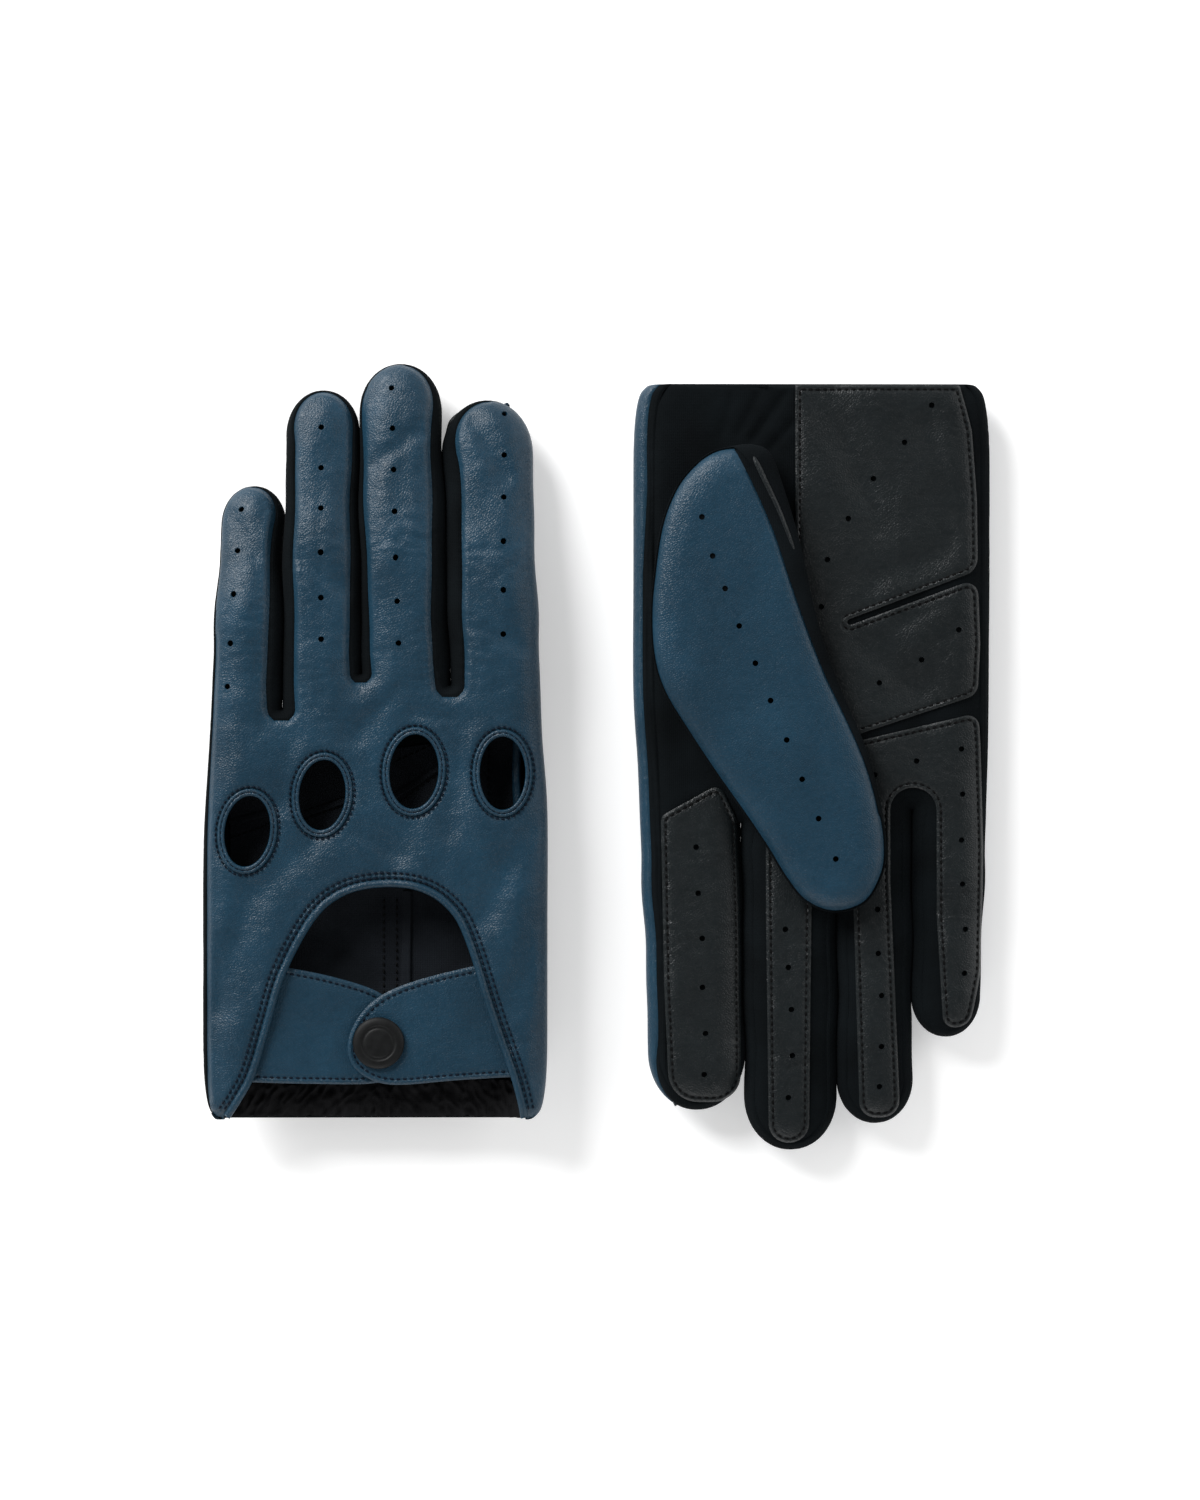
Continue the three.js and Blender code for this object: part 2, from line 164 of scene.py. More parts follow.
# ---- Lines and distances in the plane ----
def resample(line, step, closed=False):
    """The same line with evenly spaced points about one step apart."""
    line = np.asarray(line, float)
    if closed:
        line = np.vstack([line, line[:1]])
    along = np.concatenate([[0], np.cumsum(np.linalg.norm(np.diff(line, axis=0), axis=1))])
    count = max(2, int(round(along[-1] / step)) + 1)
    at = np.linspace(0, along[-1], count)
    out = np.column_stack([np.interp(at, along, line[:, i]) for i in range(line.shape[1])])
    return out[:-1] if closed else out


def curve(points, step, closed=False):
    """A smooth curve through the points."""
    points = np.asarray(points, float)
    n = len(points)
    fine = []
    for i in range(n if closed else n - 1):
        if closed:
            a, b, c, d = (points[(i + k) % n] for k in (-1, 0, 1, 2))
        else:
            a, b, c, d = points[max(i - 1, 0)], points[i], points[i + 1], points[min(i + 2, n - 1)]
        t = np.linspace(0, 1, 16, endpoint=False)[:, None]
        fine.append(0.5 * (2 * b + (c - a) * t + (2 * a - 5 * b + 4 * c - d) * t**2
                           + (3 * b - a - 3 * c + d) * t**3))
    line = np.vstack(fine if closed else fine + [points[-1:]])
    return resample(line, step, closed)


def fillet(corners, step=0.8):
    """A closed outline whose corners (x, y, radius) are rounded."""
    out = []
    n = len(corners)
    for i, (x, y, r) in enumerate(corners):
        p = np.array((x, y), float)
        a = np.array(corners[i - 1][:2], float) - p
        b = np.array(corners[(i + 1) % n][:2], float) - p
        la, lb = np.linalg.norm(a), np.linalg.norm(b)
        a, b = a / la, b / lb
        angle = math.acos(float(np.clip(a @ b, -1, 1)))
        reach = min(r / math.tan(angle / 2), la * 0.49, lb * 0.49) if r > 0 and angle < 3.1 else 0
        if reach < 0.05:
            out.append(p)
            continue
        t = np.linspace(0, 1, 9)[:, None]
        start, stop = p + a * reach, p + b * reach
        weight = math.sin(angle / 2)
        top = start * (1 - t) ** 2 + 2 * weight * p * t * (1 - t) + stop * t**2
        out.extend(top / ((1 - t) ** 2 + 2 * weight * t * (1 - t) + t**2))
    return resample(out, step, closed=True)


def right_normals(line, closed=False):
    """Unit normals to the right of the line's direction."""
    if closed:
        d = np.roll(line, -1, 0) - np.roll(line, 1, 0)
    else:
        d = np.gradient(line, axis=0)
    d /= np.linalg.norm(d, axis=1)[:, None]
    return np.column_stack([d[:, 1], -d[:, 0]])


def inward_normals(outline):
    """Unit normals along a closed outline, towards its inside."""
    area = np.cross(outline, np.roll(outline, -1, 0)).sum()
    return right_normals(outline, True) * (-1 if area > 0 else 1)


def distance(points, line, closed=False):
    """Distance from each point to the line."""
    points, line = np.asarray(points, float), np.asarray(line, float)
    if not closed and len(line) < 24:
        line = resample(line, 0.5)
    tree = KDTree(len(line))
    for i, (x, y) in enumerate(line):
        tree.insert((x, y, 0), i)
    tree.balance()
    near = np.array([tree.find((x, y, 0))[1] for x, y in points])
    out = np.full(len(points), 1e9)
    for shift in (-1, 0):
        i = near + shift
        i = i % len(line) if closed else np.clip(i, 0, len(line) - 2)
        a, b = line[i], line[(i + 1) % len(line)]
        d = b - a
        t = np.clip(((points - a) * d).sum(1) / np.maximum((d**2).sum(1), 1e-12), 0, 1)
        out = np.minimum(out, np.linalg.norm(points - a - d * t[:, None], axis=1))
    return out


def close_by(points, line, reach, closed=False):
    """Distance to a short line, worked out only for the points within reach of its box."""
    out = np.full(len(points), 1e3)
    low, high = line.min(0) - reach, line.max(0) + reach
    mine = ((points > low) & (points < high)).all(1)
    if mine.any():
        out[mine] = distance(points[mine], line, closed)
    return out


def inside(points, ring):
    x, y = points[:, 0], points[:, 1]
    hit = np.zeros(len(points), bool)
    for (x0, y0), (x1, y1) in zip(ring, np.roll(ring, -1, 0)):
        if y0 != y1:
            crosses = (y0 > y) != (y1 > y)
            hit ^= crosses & (x < (x1 - x0) * (y - y0) / (y1 - y0) + x0)
    return hit


def ellipse(at, half, lean=0.0, count=64):
    a = np.linspace(0, 2 * math.pi, count, endpoint=False)
    u, v = half[0] * np.cos(a), half[1] * np.sin(a)
    c, s = math.cos(math.radians(lean)), math.sin(math.radians(lean))
    return np.column_stack([at[0] + u * c - v * s, at[1] + u * s + v * c])


def fill(outline, holes=(), step=1.0, extra=None):
    """Triangles that fill an outline round its holes: points and faces, counter-clockwise."""
    rings = [np.asarray(r, float) for r in (outline, *holes)]
    low, high = rings[0].min(0), rings[0].max(0)
    xs = np.arange(low[0], high[0] + step, step)
    rows = np.arange(low[1], high[1] + step, step * 0.866)
    grid = np.array([(x + (j % 2) * step / 2, y) for j, y in enumerate(rows) for x in xs])
    if extra is not None and len(extra):
        grid = np.vstack([grid[nearest(grid, extra) > 0.62 * step], extra])
    keep = inside(grid, rings[0])
    for hole in rings[1:]:
        keep &= ~inside(grid, hole)
    grid = grid[keep]
    grid = grid[nearest(grid, np.vstack(rings)) > 0.4 * step]
    points, edges = [], []
    for ring in rings:
        first, n = len(points), len(ring)
        points.extend(map(tuple, ring))
        edges.extend((first + i, first + (i + 1) % n) for i in range(n))
    points.extend(map(tuple, grid))
    verts, _, faces, *_ = delaunay_2d_cdt([Vector(p) for p in points], edges, [], 0, 1e-4)
    verts = np.array([tuple(v) for v in verts])
    faces = np.array([f for f in faces if len(f) == 3])
    centre = verts[faces].mean(1)
    keep = inside(centre, rings[0])
    for hole in rings[1:]:
        keep &= ~inside(centre, hole)
    faces = faces[keep]
    a, b, c = (verts[faces[:, i]] for i in range(3))
    area = (b[:, 0] - a[:, 0]) * (c[:, 1] - a[:, 1]) - (b[:, 1] - a[:, 1]) * (c[:, 0] - a[:, 0])
    faces[area < 0] = faces[area < 0][:, ::-1]
    return compact(verts, faces)


def nearest(points, others):
    """Distance from each point to the nearest of the others."""
    tree = KDTree(len(others))
    for i, (x, y) in enumerate(others):
        tree.insert((x, y, 0), i)
    tree.balance()
    return np.array([tree.find((x, y, 0))[2] for x, y in points])


def compact(points, faces):
    """Drops the points that no face uses."""
    used, faces = np.unique(faces, return_inverse=True)
    return points[used], faces.reshape(-1, 3)


def weld(parts, reach=1e-3):
    """Joins surfaces whose edge points coincide."""
    points = np.vstack([p for p, _ in parts])
    offset, faces = 0, []
    for p, f in parts:
        faces.append(f + offset)
        offset += len(p)
    faces = np.vstack(faces)
    _, first, back = np.unique(np.round(points / reach).astype(np.int64), axis=0,
                               return_index=True, return_inverse=True)
    faces = back.reshape(-1)[faces]
    real = (faces[:, 0] != faces[:, 1]) & (faces[:, 1] != faces[:, 2]) & (faces[:, 0] != faces[:, 2])
    return compact(points[first], faces[real])


def grid_faces(rows, columns, closed=False):
    """Triangles of a grid of rows x columns points, columns fastest."""
    i = np.arange(rows - 1)[:, None] * columns
    j = np.arange(columns if closed else columns - 1)[None]
    k = (j + 1) % columns
    a, b, c, d = i + j, i + k, i + columns + k, i + columns + j
    return np.stack([np.stack([a, b, c], -1), np.stack([a, c, d], -1)], 2).reshape(-1, 3)


def vertex_normals(points, faces):
    a, b, c = (points[faces[:, i]] for i in range(3))
    n = np.cross(b - a, c - a)
    out = np.zeros_like(points)
    for i in range(3):
        np.add.at(out, faces[:, i], n)
    size = np.linalg.norm(out, axis=1)
    return np.where(size[:, None] > 1e-6, out / np.maximum(size, 1e-12)[:, None], 0)


def smooth_noise(p, scale, seed):
    """Smooth noise from -1 to 1 over the plane, with features about scale across."""
    sx, sy = scale if isinstance(scale, tuple) else (scale, scale)
    return np.array([noise.noise(Vector((x / sx, y / sy, seed))) for x, y in p])


# ---- A glove's shape ----
class Glove:
    """One glove: its edge line seen from above, the heights of its two faces, and its place in the world."""

    def __init__(self, side):
        spec = GLOVES[side]
        self.side = side
        self.turned = side == "right"
        self.half_width = spec["half_width"]
        self.wrist_half = spec["wrist_half"]
        self.fingers = spec["fingers"]
        self.webs = spec["webs"]
        low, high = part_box(f"{side}_back_panel")
        x = (low.x + high.x) / 2
        self.origin = np.array((x, high.y, high.z + 0.013) if self.turned else (x, low.y, low.z - 0.013))
        self.edge_line()
        self.fields()

    def place(self, points):
        """The glove's millimetres to the world's metres."""
        return np.asarray(points, float) * (-0.001 if self.turned else 0.001) + self.origin

    def finger_at(self, name, y):
        f = self.fingers[name]
        t = (y - WEB_Y) / (f["tip"] - WEB_Y)
        return (f["across"][0] + (f["across"][1] - f["across"][0]) * t,
                (f["wide"][0] + (f["wide"][1] - f["wide"][0]) * t) / 2)

    def wave(self, gap, ys):
        """How the soft sides of the fingers wander; gap 0 is the index finger's outer side."""
        out = np.sin(ys / 7.3 + 2.4 * gap) + 0.6 * np.sin(ys / 3.9 + 4.1 * gap)
        return 0.24 * out * np.clip((ys - 132) / 14, 0, 1)

    def gap_line(self, gap, ys):
        """The line on which two neighbouring fingers lie against each other."""
        x, half = self.finger_at(FINGERS[gap - 1], ys)
        other, other_half = self.finger_at(FINGERS[gap], ys)
        return (x - half + other + other_half) / 2 + self.wave(gap, ys)

    def finger_side(self, name, ys, sign):
        """A finger's side, drawn up to its neighbour's."""
        gap = FINGERS.index(name) + (sign < 0)
        if 0 < gap < 4:
            pressed = np.clip((ys - self.webs[3 - gap] - WEB_DEPTH[3 - gap] - 1) / 5, 0, 1)
            return np.column_stack([self.gap_line(gap, ys) + sign * (0.07 * pressed - 0.03), ys])
        x, half = self.finger_at(name, ys)
        return np.column_stack([x + sign * half + self.wave(gap, ys), ys])

    def edge_line(self):
        """Walks the edge from the wrist up the little finger's side, round every finger, down to the wrist."""
        w = self.half_width
        line, marks = [], []

        def walk(points, **named):
            for name, at in named.items():
                marks.append((name, len(line) + int(at * (len(points) - 1))))
            line.extend(map(tuple, points))

        order = FINGERS[::-1]
        root = self.finger_side("pinky", np.array([112.0, 130.0]), -1)
        up = curve([(-w + 5.2, 0.05), (-w + 3.9, 0.6), (-w + 1.9, 3.2), (-w + 0.7, 9), (-w + 0.1, 18), (-w, 32),
                    (-w, 58), (-w + 0.2, 84), *root], 0.6)
        walk(up, wrist_pinky=0, side_pinky_low=0.14, side_pinky_high=0.6, root_pinky=0.84)
        for i, name in enumerate(order):
            f = self.fingers[name]
            half = self.finger_at(name, f["tip"])[1]
            shoulder = f["tip"] - half * TIP_ROUND
            low = 131 if i == 0 else self.webs[i - 1] + WEB_DEPTH[i - 1]
            ys = np.arange(low, shoulder, 0.7)
            walk(self.finger_side(name, ys, -1), **{f"{name}_left_low": 0.08, f"{name}_left_high": 0.95})
            left = self.finger_side(name, np.array([shoulder]), -1)[0, 0]
            right = self.finger_side(name, np.array([shoulder]), 1)[0, 0]
            a = np.linspace(math.pi, 0, 60)[1:-1]
            c, si = np.cos(a), np.sin(a)
            tip = np.column_stack([(left + right) / 2 + (right - left) / 2 * np.sign(c) * np.abs(c) ** 0.97,
                                   shoulder + (f["tip"] - shoulder) * si**0.97])
            walk(tip, **{f"{name}_tip": 0.5})
            low = 131 if i == 3 else self.webs[i] + WEB_DEPTH[i]
            ys = np.arange(shoulder, low, -0.7)
            walk(self.finger_side(name, ys, 1), **{f"{name}_right_high": 0.05, f"{name}_right_low": 0.92})
            if i < 3:
                left = self.finger_side(name, np.array([low]), 1)[0, 0]
                right = self.finger_side(order[i + 1], np.array([low]), -1)[0, 0]
                a = np.linspace(math.pi, 2 * math.pi, 22)[1:-1]
                web = np.column_stack([(left + right) / 2 + (right - left) / 2 * np.cos(a), low + 0.25 * np.sin(a)])
                walk(web, **{f"web_{name}_low": 0.0, f"web_{name}_high": 1.0})
        root = self.finger_side("index", np.array([130.0, 114.0]), 1)
        down = curve([*root, (w, 92), (w, 58), (w, 32), (w - 0.1, 18), (w - 0.7, 9), (w - 1.9, 3.2), (w - 3.9, 0.6),
                      (w - 5.2, 0.05)], 0.6)
        walk(down, root_index=0.08, side_index=0.55, low_index=0.75, wrist_index=1.0)
        self.edge = np.array(line)
        self.edge_normal = right_normals(self.edge)
        level = np.clip(self.edge[:, 1] / 8, 0, 1) ** 2
        self.edge_normal[:, 1] *= level
        self.edge_normal /= np.linalg.norm(self.edge_normal, axis=1)[:, None]
        self.edge_along = np.concatenate([[0], np.cumsum(np.linalg.norm(np.diff(self.edge, axis=0), axis=1))])
        self.marks = [(name, self.edge_along[i]) for name, i in marks]

    def inset_at(self, insets, name):
        base, _, end = name.rpartition("_")
        if end in ("low", "high") and base in insets:
            value = insets[base]
            return value[end == "high"] if isinstance(value, tuple) else value
        return insets[name]

    def mark(self, name):
        return next(at for known, at in self.marks if known == name)

    def seam(self, insets):
        """Each edge point's inset of a seam, from its values at the marks."""
        at = sorted((at, self.inset_at(insets, name)) for name, at in self.marks)
        values = np.interp(self.edge_along, [a for a, _ in at], [v for _, v in at])
        kernel = np.hanning(13)[1:-1]
        return np.convolve(np.pad(values, 5, mode="edge"), kernel / kernel.sum(), mode="valid")

    def fields(self):
        """Surveys the inset from the edge and the relief of both faces, to be read off later at any point."""
        self.corner = np.array((-62.0, -6.0))
        self.cell = 0.5
        xs = np.arange(-62, 62.01, self.cell)
        ys = np.arange(-6, 238.01, self.cell)
        grid = np.stack(np.meshgrid(xs, ys), -1).reshape(-1, 2)
        shut = np.vstack([self.edge, (self.edge[-1, 0], -12), (self.edge[0, 0], -12)])
        signed = distance(grid, self.edge) * np.where(inside(grid, shut), 1, -1)
        self.inset_field = signed.reshape(len(ys), len(xs))
        near = signed > -1.5
        self.relief = {}
        for face in (1, -1):
            flat = np.zeros(len(grid))
            flat[near] = self.folds(grid[near], face)
            self.relief[face] = flat.reshape(len(ys), len(xs))

    def read(self, field, p, cell):
        u = np.clip((p - self.corner) / cell, 0, np.array(field.shape[::-1]) - 1.001)
        i = u.astype(int)
        fx, fy = (u - i).T
        x, y = i.T
        return ((field[y, x] * (1 - fx) + field[y, x + 1] * fx) * (1 - fy)
                + (field[y + 1, x] * (1 - fx) + field[y + 1, x + 1] * fx) * fy)

    def roundness(self, inset):
        t = np.clip(inset / ROLL, 0, 1)
        return np.sqrt(np.maximum(1 - (1 - t) ** 2, 0))

    def folds(self, p, face):
        """Relief of the soft faces, in millimetres, on the back (face 1) or the palm side (face -1)."""
        seed = (3.1 if face > 0 else 9.7) + (40 if self.turned else 0)
        out = 0.95 * smooth_noise(p, (22, 32), seed) + 0.62 * smooth_noise(p, (9, 13), seed + 5)
        out += 0.1 * smooth_noise(p, (3.5, 4.5), seed + 11)
        bent = np.zeros(len(p))
        own = self.own_finger(p)
        for i, name in enumerate(FINGERS):
            bend, web = self.fingers[name]["bend"], 138
            mine = own == i
            y = p[mine, 1]
            bent[mine] = np.exp(-(((y - bend) / 6) ** 2)) + 0.5 * np.exp(-(((y - bend - 30) / 5) ** 2))
            bent[mine] += 0.55 * np.exp(-(((y - web) / 9) ** 2))
        out -= (0.12 + 0.34 * bent) * np.maximum(1 - 4.5 * np.abs(smooth_noise(p, (8.5, 2.1), seed + 17)), 0)
        for a, b, depth, half in BACK_CREASES if face > 0 else PALM_PUCKERS:
            d = close_by(p, np.array([a, b], float), 3 * half)
            out -= depth * np.exp(-((d / half) ** 2))
        return out if face > 0 else 0.8 * out

    def height(self, p, face, inset=None):
        """Height of a face over the points."""
        p = np.asarray(p, float)
        if inset is None:
            inset = np.maximum(self.read(self.inset_field, p, self.cell), 0)
        relief = self.read(self.relief[face], p, self.cell)
        return MIDDLE + face * (FACE_RISE[face] * self.roundness(inset) + relief * np.clip(inset / 5, 0, 1))

    def own_finger(self, plan):
        """The finger that each place in the plan belongs to: 0 for the index finger, 3 for the little finger."""
        ys = np.maximum(plan[:, 1], WEB_Y)
        return sum((plan[:, 0] < self.gap_line(gap, ys)).astype(int) for gap in (1, 2, 3))

    def finger_along(self, along):
        """The finger beside each distance along the edge line, parted at the middles of the webs."""
        webs = [(self.mark(f"web_{name}_low") + self.mark(f"web_{name}_high")) / 2 for name in FINGERS[:0:-1]]
        return 3 - sum((along > at).astype(int) for at in webs)

    def settle(self, points, plan=None, own=None):
        """Lowers the left glove's fingertips to the surface, from their bends on. The plan says where the points lay
        before their folds were drawn."""
        points = np.array(points, float)
        if self.turned:
            return points
        plan = points[:, :2] if plan is None else plan
        own = self.own_finger(plan) if own is None else own
        for i, name in enumerate(FINGERS):
            f = self.fingers[name]
            mine = (own == i) & (plan[:, 1] > f["bend"] - BEND_REACH)
            if not mine.any():
                continue
            droop = math.asin(THUMB_DEPTH / (f["tip"] - f["bend"]))
            q = points[mine]
            t = np.clip((q[:, 1] - f["bend"] + BEND_REACH) / (2 * BEND_REACH), 0, 1)
            a = droop * t * t * (3 - 2 * t)
            y, z = q[:, 1] - f["bend"], q[:, 2].copy()
            q[:, 1] = f["bend"] + y * np.cos(a) + z * np.sin(a)
            q[:, 2] = -y * np.sin(a) + z * np.cos(a)
            points[mine] = q
        return points

    def bands(self, start, stop, rows=12):
        """A strip of surface along the edge line, between two signed insets. Returns its places in the plan, their
        insets, the face each lies on and how far round the edge it is, each with one row for a point of the line."""
        def turn(s):
            return np.sign(s) * ROLL * np.arccos(1 - np.minimum(np.abs(s), ROLL) / ROLL)

        a = turn(start)[:, None] + (turn(stop) - turn(start))[:, None] * np.linspace(0, 1, rows)[None]
        inset = ROLL * (1 - np.cos(np.abs(a) / ROLL))
        plane = self.edge[:, None, :] + self.edge_normal[:, None, :] * inset[..., None]
        face = np.where(a >= 0, 1, -1)
        return plane, inset, face, a

    def finger_of(self, centres, own=None):
        """For each place in the plan, the finger whose bend it belongs to, or -1 for the hand."""
        cuts = np.array([self.fingers[name]["bend"] - BEND_REACH - 1 for name in FINGERS])
        own = self.own_finger(centres) if own is None else own
        return np.where(centres[:, 1] > cuts[own], own, -1)


# ---- Making pieces ----
def thicken(points, faces, normals, thickness):
    """Closes a surface into a sheet that lies under it. Returns points, faces and each corner's normal."""
    inner = points - normals * thickness
    n = len(points)
    edges = np.vstack([faces[:, [0, 1]], faces[:, [1, 2]], faces[:, [2, 0]]])
    key = edges[:, 0].astype(np.int64) * (n + 1) + edges[:, 1]
    back = edges[:, 1].astype(np.int64) * (n + 1) + edges[:, 0]
    rim = edges[~np.isin(key, back)]
    rims = np.vstack([np.column_stack([rim[:, 1], rim[:, 0], rim[:, 0] + n]),
                      np.column_stack([rim[:, 1], rim[:, 0] + n, rim[:, 1] + n])])
    all_points = np.vstack([points, inner])
    all_faces = np.vstack([faces, faces[:, ::-1] + n, rims])
    corner = np.vstack([normals, -normals])[all_faces]
    flat = np.cross(all_points[rims[:, 1]] - all_points[rims[:, 0]], all_points[rims[:, 2]] - all_points[rims[:, 0]])
    flat /= np.maximum(np.linalg.norm(flat, axis=1), 1e-12)[:, None]
    corner[2 * len(faces):] = flat[:, None, :]
    return all_points, all_faces, corner


def new_piece(name, glove, points, faces, material, corner_normals=None):
    """A mesh object from a glove's own millimetres."""
    if glove.turned:
        faces = faces[:, ::-1]
        if corner_normals is not None:
            corner_normals = -corner_normals[:, ::-1]
    mesh = bpy.data.meshes.new(name)
    points = np.column_stack([points[:, 0], np.maximum(points[:, 1], EDGE_FLOOR), points[:, 2]])
    mesh.from_pydata(glove.place(points).tolist(), [], faces.tolist())
    mesh.polygons.foreach_set("use_smooth", np.ones(len(faces), bool))
    piece = bpy.data.objects.new(name, mesh)
    bpy.context.scene.collection.objects.link(piece)
    mesh.materials.append(material)
    if corner_normals is not None:
        mesh.normals_split_custom_set(corner_normals.reshape(-1, 3).tolist())
    mesh.update()
    return piece


def sheet_piece(name, glove, points, faces, material, thickness):
    """A piece made of one surface, given its thickness."""
    points, faces, corners = thicken(points, faces, vertex_normals(points, faces), thickness)
    return new_piece(name, glove, points, faces, material, corners)


def bend_line(glove, finger):
    """Where a finger's bend starts and ends, in the world."""
    bend = glove.fingers[finger]["bend"]
    x, _ = glove.finger_at(finger, bend)
    start, stop = glove.place([(x, bend - BEND_REACH, 0), (x, bend + BEND_REACH, 0)])
    return tuple(start), tuple(stop)


def attach(piece, glove, finger, slot, *nodes):
    """Rides on the hand, or, for a finger, has its place baked into its mesh; it does not bend."""
    if finger:
        start, stop = bend_line(glove, finger)
        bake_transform(piece)
    else:
        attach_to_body(piece, f"{glove.side}_hand")
    if nodes:
        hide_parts(*nodes)


def split_and_make(glove, surface, flat_centres, material, slot, thickness, names, nodes):
    """Makes one piece for the hand and one for each finger out of a surface, with unbroken shading.

    names(finger) and nodes(finger) give a piece's name and the CAD nodes that it stands for; finger is None for
    the hand. flat_centres are the faces' middles before the fingertips are lowered."""
    points, faces = surface
    normals = vertex_normals(points, faces)
    owner = glove.finger_of(flat_centres)
    for i in range(-1, 4):
        finger = FINGERS[i] if i >= 0 else None
        mine = faces[owner == i]
        if not len(mine):
            continue
        used, local = np.unique(mine, return_inverse=True)
        sheet = thicken(points[used], local.reshape(-1, 3), normals[used], thickness)
        piece = new_piece(names(finger), glove, sheet[0], sheet[1], material, sheet[2])
        attach(piece, glove, finger, slot, *nodes(finger))


# ---- Materials ----
def start_material(name, colour, roughness, specular):
    material = bpy.data.materials.new(name)
    material.use_nodes = True
    tree = material.node_tree
    shader = tree.nodes["Principled BSDF"]
    shader.inputs["Base Color"].default_value = (*colour, 1)
    shader.inputs["Roughness"].default_value = roughness
    shader.inputs["Specular IOR Level"].default_value = specular
    return material, tree, shader


def texture(tree, kind, scale, coordinates, **inputs):
    made = tree.nodes.new(kind)
    tree.links.new(coordinates, made.inputs["Vector"])
    made.inputs["Scale"].default_value = scale
    for key, value in inputs.items():
        made.inputs[key.replace("_", " ")].default_value = value
    return made


def mix_numbers(tree, operation, a, b, c=None):
    made = tree.nodes.new("ShaderNodeMath")
    made.operation = operation
    for i, value in enumerate((a, b, c)):
        if value is None:
            continue
        if isinstance(value, (int, float)):
            made.inputs[i].default_value = value
        else:
            tree.links.new(value, made.inputs[i])
    return made.outputs[0]


def ramp(tree, value, stops):
    made = tree.nodes.new("ShaderNodeValToRGB")
    tree.links.new(value, made.inputs[0])
    elements = made.color_ramp.elements
    while len(elements) < len(stops):
        elements.new(0.5)
    for element, (at, colour) in zip(elements, stops):
        element.position = at
        element.color = (*colour, 1) if len(colour) == 3 else colour
    return made.outputs[0]


def shade(colour, by):
    return tuple(min(1.0, c * by) for c in colour)


def add_bump(tree, shader, high, strength, distance, under=None):
    bump = tree.nodes.new("ShaderNodeBump")
    bump.inputs["Strength"].default_value = strength
    bump.inputs["Distance"].default_value = distance
    tree.links.new(high, bump.inputs["Height"])
    if under:
        tree.links.new(under.outputs[0], bump.inputs["Normal"])
    tree.links.new(bump.outputs[0], shader.inputs["Normal"])
    return bump


def vary_roughness(tree, shader, value, low, high):
    rough = tree.nodes.new("ShaderNodeMapRange")
    tree.links.new(value, rough.inputs[0])
    rough.inputs[3].default_value = low
    rough.inputs[4].default_value = high
    tree.links.new(rough.outputs[0], shader.inputs["Roughness"])


def object_place(tree):
    return tree.nodes.new("ShaderNodeTexCoord").outputs["Object"]


def leather(name, colour, grain, roughness, relief):
    """Dyed sheepskin: cells of grain, fine creases between them, clouded dye, and a base colour darker in the grain's
    creases and lighter on its high spots: painted shade and painted highlight.
    """
    material, tree, shader = start_material(name, colour, roughness, 0.26)
    where = object_place(tree)
    cells = texture(tree, "ShaderNodeTexVoronoi", 1 / grain, where, Randomness=1.0)
    cells.feature = "DISTANCE_TO_EDGE"
    pores = texture(tree, "ShaderNodeTexNoise", 0.42 / grain, where, Detail=3.0, Roughness=0.5)
    clouds = texture(tree, "ShaderNodeTexNoise", 42.0, where, Detail=3.0, Roughness=0.55)
    patches = texture(tree, "ShaderNodeTexNoise", 260.0, where, Detail=4.0, Roughness=0.6)
    edge = mix_numbers(tree, "MINIMUM", mix_numbers(tree, "MULTIPLY", cells.outputs["Distance"], 3.2), 1.0)
    high = mix_numbers(tree, "ADD", mix_numbers(tree, "MULTIPLY", edge, 0.55), pores.outputs["Fac"])
    soft = add_bump(tree, shader, patches.outputs["Fac"], 0.25, 0.0003)
    add_bump(tree, shader, high, relief, 0.00015, soft)
    dye = ramp(tree, clouds.outputs["Fac"], [(0.3, shade(colour, 0.8)), (0.55, colour), (0.75, shade(colour, 1.22))])
    # Painted shade and painted highlight: the base colour follows the grain's height, darker in its creases and
    # lighter on its high spots.
    fine = ramp(tree, high, [(0.35, (0.84, 0.84, 0.84)), (0.7, (1, 1, 1)), (1.0, (1.06, 1.06, 1.06))])
    mixed = tree.nodes.new("ShaderNodeMix")
    mixed.data_type = "RGBA"
    mixed.blend_type = "MULTIPLY"
    mixed.inputs[0].default_value = 1.0
    tree.links.new(dye, mixed.inputs[6])
    tree.links.new(fine, mixed.inputs[7])
    tree.links.new(mixed.outputs[2], shader.inputs["Base Color"])
    vary_roughness(tree, shader, patches.outputs["Fac"], roughness - 0.04, roughness + 0.05)
    return material


def jersey(name, colour, stitch):
    """Matt stretch knit: fine ribs of loops, with a faint bloom of loose fibre."""
    material, tree, shader = start_material(name, colour, 0.9, 0.06)
    shader.inputs["Sheen Weight"].default_value = 0.008
    shader.inputs["Sheen Roughness"].default_value = 0.45
    shader.inputs["Sheen Tint"].default_value = (0.55, 0.6, 0.7, 1)
    where = object_place(tree)
    ribs = texture(tree, "ShaderNodeTexWave", 0.32 / stitch, where, Distortion=0.6, Detail=1.0)
    ribs.bands_direction = "X"
    loops = texture(tree, "ShaderNodeTexWave", 0.42 / stitch, where, Distortion=0.8, Detail=1.0)
    loops.bands_direction = "Y"
    fluff = texture(tree, "ShaderNodeTexNoise", 900.0, where, Detail=3.0)
    clouds = texture(tree, "ShaderNodeTexNoise", 60.0, where, Detail=3.0)
    knit = mix_numbers(tree, "MULTIPLY", ribs.outputs["Fac"], loops.outputs["Fac"])
    add_bump(tree, shader, mix_numbers(tree, "ADD", knit, fluff.outputs["Fac"]), 0.5, 0.00015)
    tone = ramp(tree, clouds.outputs["Fac"], [(0.3, shade(colour, 0.7)), (0.7, shade(colour, 1.35))])
    tree.links.new(tone, shader.inputs["Base Color"])
    return material


